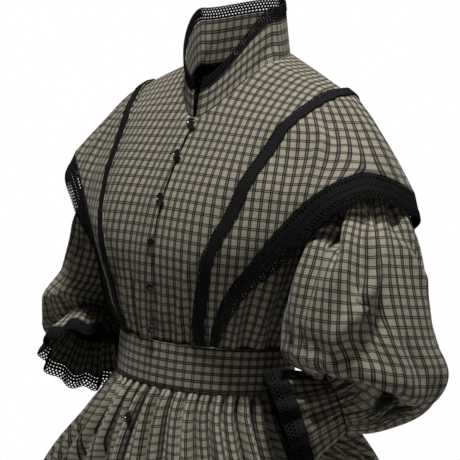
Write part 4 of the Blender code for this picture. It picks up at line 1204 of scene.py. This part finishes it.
# The collar's ends stand this many degrees from the centre front.
COLLAR_OPENING = 4.0
COLLAR_LACE_HEIGHT = 0.0155
COLLAR_RISE = 0.0026
COLLAR_SEAM = 0.0055
COLLAR_BACK_SEAM = 0.0143
LEAN_COLUMNS = ("at", "lean")
LEAN_ROWS = (
    (0.00, 0.003),
    (0.15, 0.008),
    (0.35, 0.010),
    (0.55, 0.007),
    (0.67, 0.003),
    (0.78, -0.005),
    (0.88, -0.006),
    (1.00, -0.002),
)
COLLAR_FOLDS = (
    (((0.180, 0.08), (0.205, 0.30), (0.240, 0.62)), -0.0024, 0.0060),
    (((0.215, 0.05), (0.240, 0.22), (0.275, 0.45)), 0.0018, 0.0070),
    (((0.770, 0.10), (0.745, 0.40), (0.720, 0.80)), -0.0018, 0.0070),
    (((0.560, 0.15), (0.545, 0.50), (0.535, 0.80)), -0.0012, 0.0080),
)
COLLAR_BAND = (-0.0030, 0.0054, (4,), 0.0)
COLLAR_RINGS = (
    (0.0072, 0.0023, 0.00140, 0.0044),
    (0.0108, 0.0023, 0.00135, 0.0044),
    (0.0140, 0.0019, 0.00110, 0.0044),
)


def collar_sweep(u):
    """The angle round the neck, from one front end of the collar past the back to the other."""
    opening = math.radians(COLLAR_OPENING)
    return opening + (2 * math.pi - 2 * opening) * u


def collar_height(u):
    middle = ease(0, 0.22, u) * (1 - ease(0.78, 1, u))
    return COLLAR_FRONT_HEIGHT + (COLLAR_HEIGHT - COLLAR_FRONT_HEIGHT) * middle


def collar_at(u, height):
    """A point at height up the collar, measured along its cloth."""
    base = neck_ring(collar_sweep(u))
    inward = -unit(base * np.array([1, 1, 0]) - np.array([0, NECK_MIDDLE, 0]))
    lean = read(LEAN_COLUMNS, LEAN_ROWS, "lean", u)
    share = (height / collar_height(u))[..., None]
    return base + inward * lean[..., None] * share + stack(0 * u, 0 * u, COLLAR_RISE + height)


def collar(u, v):
    back = ease(0.12, 0.3, u) * (1 - ease(0.7, 0.88, u))
    seam = COLLAR_SEAM + (COLLAR_BACK_SEAM - COLLAR_SEAM) * back
    return collar_at(u, -seam + v * (seam + collar_height(u)))


def collar_edging(u, v):
    return collar_at(u, collar_height(u) + SEAM_GAP + v * COLLAR_LACE_HEIGHT)


def lengthwise_grain(height_of, form):
    """The stripes run along the piece: the warp round it and the weft up it."""

    def grain_of(u, v, points, outward):
        middle = form(u[:, :1], np.full_like(u[:, :1], 0.5))[:, 0]
        run = np.concatenate([[0], np.cumsum(np.linalg.norm(np.diff(middle, axis=0), axis=-1))])
        return np.stack([v * height_of(u), np.broadcast_to(run[:, None], u.shape)], -1)

    return grain_of


lay_cloth("cotton_collar", collar, 160, 22, lengthwise_grain(collar_height, collar), ["collar"],
          cotton, folds=COLLAR_FOLDS, thick=COLLAR_CLOTH)
lace("lace_on_collar", collar_edging, COLLAR_LACE_HEIGHT, COLLAR_BAND, COLLAR_RINGS, "collar_lace")

# Waistband. A flat doubled band of the cotton, cut with its warp lengthwise, round the waist
# between the bodice and the skirt. It closes at the front under the right front's edge.
WAIST_TOP = -0.365
WAIST_LOW = -0.420
WAIST_HALF = 0.117
WAIST_FRONT = 0.128
WAIST_BACK = 0.079
BAND_EASE = 0.0005
BAND_CLOTH = 0.0028
BAND_SHELL = 0.0022
BAND_FOLDS = (
    (((0.150, 0.30), (0.175, 0.22), (0.215, 0.12)), -0.0012, 0.0032),
    (((0.200, 0.62), (0.235, 0.50), (0.280, 0.46)), -0.0010, 0.0040),
    (((0.700, 0.55), (0.760, 0.42), (0.820, 0.38)), -0.0012, 0.0040),
    (((0.420, 0.35), (0.500, 0.42), (0.560, 0.40)), -0.0010, 0.0050),
)


def waist_ring(angle, half, front, back):
    """A point of a ring round the body, by its angle from the centre front to the wearer's left."""
    depth = np.where(np.cos(angle) > 0, front, back)
    return half * np.sin(angle), -depth * np.cos(angle)


def band(u, v):
    x, y = waist_ring(2 * math.pi * u, WAIST_HALF, WAIST_FRONT, WAIST_BACK)
    out = unit(stack(x, y, 0 * u))
    z = WAIST_LOW + (WAIST_TOP - WAIST_LOW) * v
    return stack(x, y, z) + out * (BAND_EASE + BAND_CLOTH)


def band_height(u):
    return np.full_like(u, WAIST_TOP - WAIST_LOW)


lay_cloth("cotton_waistband", band, 240, 14, lengthwise_grain(band_height, band), ["waistband"],
          cotton, tube=True, folds=BAND_FOLDS, thick=BAND_SHELL)

# Skirt. Four gores of the cotton, joined at the centres and the sides, gathered thickly into the
# waistband and falling in soft cones to the hem.
HEM = -1.420
SKIRT_COLUMNS = ("down", "z", "half", "front", "back")
SKIRT_ROWS = (
    (0.00, WAIST_LOW - 3 * SEAM_GAP, 0.118, 0.129, 0.080),
    (0.16, -0.442, 0.124, 0.141, 0.141),
    (0.33, -0.485, 0.150, 0.157, 0.246),
    (0.50, -0.570, 0.218, 0.174, 0.305),
    (0.67, -0.740, 0.282, 0.240, 0.378),
    (0.84, -1.020, 0.365, 0.330, 0.448),
    (1.00, HEM, 0.445, 0.415, 0.515),
)
GATHERS = 48
GATHER_SINK = 0.2
BIG_FOLDS = 24
HEM_FOLDS = 13
FOLD_COLUMNS = ("down", "gather", "big", "hem")
FOLD_ROWS = (
    (0.00, 0.0034, 0.0000, 0.000),
    (0.16, 0.0155, 0.0020, 0.000),
    (0.33, 0.0160, 0.0060, 0.002),
    (0.50, 0.0105, 0.0100, 0.006),
    (0.67, 0.0030, 0.0120, 0.013),
    (0.84, 0.0000, 0.0110, 0.022),
    (1.00, 0.0000, 0.0100, 0.030),
)
SKIRT_CLOTH_TOP = 1.15
GORE_SEAM = 0.0002
# The gores: the share of the way round at which each starts and at which its warp is straight.
GORES = (
    ("front_left", 0.0, 0.0),
    ("back_left", 0.25, 0.5),
    ("back_right", 0.5, 0.5),
    ("front_right", 0.75, 1.0),
)


def skirt(u, v):
    """The skirt: u once round from the centre front to the wearer's left, v from the hem up."""
    down = 1 - v
    angle = 2 * math.pi * u
    sizes = [read(SKIRT_COLUMNS, SKIRT_ROWS, name, down) for name in ("half", "front", "back")]
    x, y = waist_ring(angle, *sizes)
    depths = [read(FOLD_COLUMNS, FOLD_ROWS, name, down) for name in FOLD_COLUMNS[1:]]
    fold = (
        depths[0] * (gathered(GATHERS, u, 0.7) - GATHER_SINK)
        + depths[1] * np.cos(BIG_FOLDS * angle + 0.5 * np.sin(5 * angle))
        + depths[2] * np.cos(HEM_FOLDS * angle + 0.6 * np.sin(angle))
    )
    out = unit(stack(x, y, 0 * u))
    z = read(SKIRT_COLUMNS, SKIRT_ROWS, "z", down)
    return stack(x, y, z) + out * fold[..., None]


def gore_grain(straight):
    """The warp is straight along the gore's centre edge, and its flare is all at its side edge."""

    def grain_of(u, v, points, outward):
        down = 1 - v
        sizes = [read(SKIRT_COLUMNS, SKIRT_ROWS, name, down) for name in ("half", "front", "back")]
        girth = math.pi * (sizes[0] + (sizes[1] + sizes[2]) / 2)
        steps = np.linalg.norm(np.diff(side_line(down[0]), axis=0), axis=-1)
        run = np.concatenate([[0], np.cumsum(steps)])
        return np.stack([(u - straight) * np.maximum(girth, SKIRT_CLOTH_TOP), -run + 0 * u], -1)

    return grain_of


def side_line(down):
    """The skirt's side line, along which the length of its cloth is measured."""
    half = read(SKIRT_COLUMNS, SKIRT_ROWS, "half", down)
    return np.stack([half, read(SKIRT_COLUMNS, SKIRT_ROWS, "z", down)], -1)


for word, start, straight in GORES:
    lay_cloth(f"cotton_skirt_{word}", skirt, 144, 66, gore_grain(straight), [f"skirt_{word}"],
              cotton, between=(start + GORE_SEAM, start + 0.25 - GORE_SEAM))

# Buttons. Seven small domed buttons of glossy black with a raised rim, sewn through the lapped
# right front on short shanks, and the lowest on the skirt's placket.
BUTTON_RADIUS = 0.0056
BUTTON_HEIGHT = 0.0042
BUTTON_LEVELS = (-0.095, -0.135, -0.189, -0.243, -0.297, -0.350, -0.458)
BUTTON_SHANK = 0.0007
# The button's outline from its middle to its back, as shares of its radius and of its height.
BUTTON_PROFILE = (
    (0.00, 0.62), (0.30, 0.60), (0.55, 0.52), (0.66, 0.50), (0.76, 0.72), (0.88, 0.78),
    (0.97, 0.60), (1.00, 0.30), (0.94, 0.10), (0.70, 0.02), (0.30, 0.00), (0.00, 0.00),
)

jet = bpy.data.materials.new("glossy black button")
jet.use_nodes = True
shader = jet.node_tree.nodes["Principled BSDF"]
shader.inputs["Roughness"].default_value = 0.24
shader.inputs["Coat Weight"].default_value = 0.4
place = jet.node_tree.nodes.new("ShaderNodeTexCoord")
cloud = jet.node_tree.nodes.new("ShaderNodeTexNoise")
cloud.inputs["Scale"].default_value = 260
tone = jet.node_tree.nodes.new("ShaderNodeValToRGB")
tone.color_ramp.elements[0].color = (0.008, 0.008, 0.009, 1)
tone.color_ramp.elements[1].color = (0.024, 0.022, 0.021, 1)
jet.node_tree.links.new(place.outputs["Object"], cloud.inputs["Vector"])
jet.node_tree.links.new(cloud.outputs["Fac"], tone.inputs["Fac"])
jet.node_tree.links.new(tone.outputs["Color"], shader.inputs["Base Color"])


def button(number, level, form):
    """A button seated on a front edge, with its face along the cloth."""
    heights = np.linspace(0, 1, 400)
    line = form(np.zeros_like(heights), heights)
    near = (level, level - BUTTON_RADIUS, level + BUTTON_RADIUS)
    foot, low, high = (np.array([np.interp(z, line[:, 2], line[:, k]) for k in range(3)]) for z in near)
    along = unit(high - low)
    out = unit(np.cross((1, 0, 0), along))
    bm = bmesh.new()
    outline = [bm.verts.new((r * BUTTON_RADIUS, 0, h * BUTTON_HEIGHT)) for r, h in BUTTON_PROFILE]
    edges = [bm.edges.new(pair) for pair in zip(outline, outline[1:])]
    bmesh.ops.spin(bm, geom=outline + edges, cent=(0, 0, 0), axis=(0, 0, 1), angle=2 * math.pi,
                   steps=28, use_merge=True)
    bmesh.ops.remove_doubles(bm, verts=bm.verts, dist=1e-6)
    bmesh.ops.recalc_face_normals(bm, faces=bm.faces)
    seat = Matrix((Vector((1, 0, 0)), Vector(along), Vector(out))).transposed().to_4x4()
    seat.translation = Vector(foot + out * BUTTON_SHANK)
    bmesh.ops.transform(bm, matrix=seat, verts=bm.verts)
    finish_piece(f"jet_button_{number}", bm, jet, [f"button_{number}"])


lapped = front_panel(-1)
for number, level in enumerate(BUTTON_LEVELS, 1):
    button(number, level, (lambda u, v: lapped(1 - u, v)) if level > BODICE_END else skirt)

# Stitching. Fine dark machine stitches hold down the front edge, both edges of the waistband,
# the foot of the collar and the hem.
STITCH_PITCH = 0.0030
STITCH_LENGTH = 0.0011
STITCH_RADIUS = 0.00022
STITCH_ROW = 0.001
# Where each row of stitches runs: u along it, and v the width of a narrow strip of the cloth.
STITCHED = (
    ("front_edge", lambda u, v: lapped(0.965 - 0.01 * v, 0.01 + 0.58 * u)),
    ("band_top", lambda u, v: band(u, 0.940 + 0.02 * v)),
    ("band_foot", lambda u, v: band(u, 0.045 + 0.02 * v)),
    ("collar_foot", lambda u, v: collar(u, 0.06 + 0.02 * v)),
    ("hem", lambda u, v: skirt(u, 0.028 + 0.002 * v)),
)

sewing = black_thread("dark sewing thread")
for name, form in STITCHED:
    length = form_length(form)
    count = round(length / STITCH_PITCH)
    stitch = bmesh.new()
    bmesh.ops.create_uvsphere(stitch, u_segments=6, v_segments=4, radius=STITCH_RADIUS)
    bmesh.ops.scale(stitch, verts=stitch.verts, vec=(STITCH_LENGTH / STITCH_RADIUS, 1, 1))
    bmesh.ops.translate(stitch, verts=stitch.verts, vec=(STITCH_PITCH / 2, STITCH_ROW / 2, 0))
    bm = bmesh.new()
    bm.from_mesh(repeated(stitch, length / count, count, merge=False))
    lay_flat(bm, form, STITCH_ROW, length)
    finish_piece(f"stitches_{name}", bm, sewing, [])
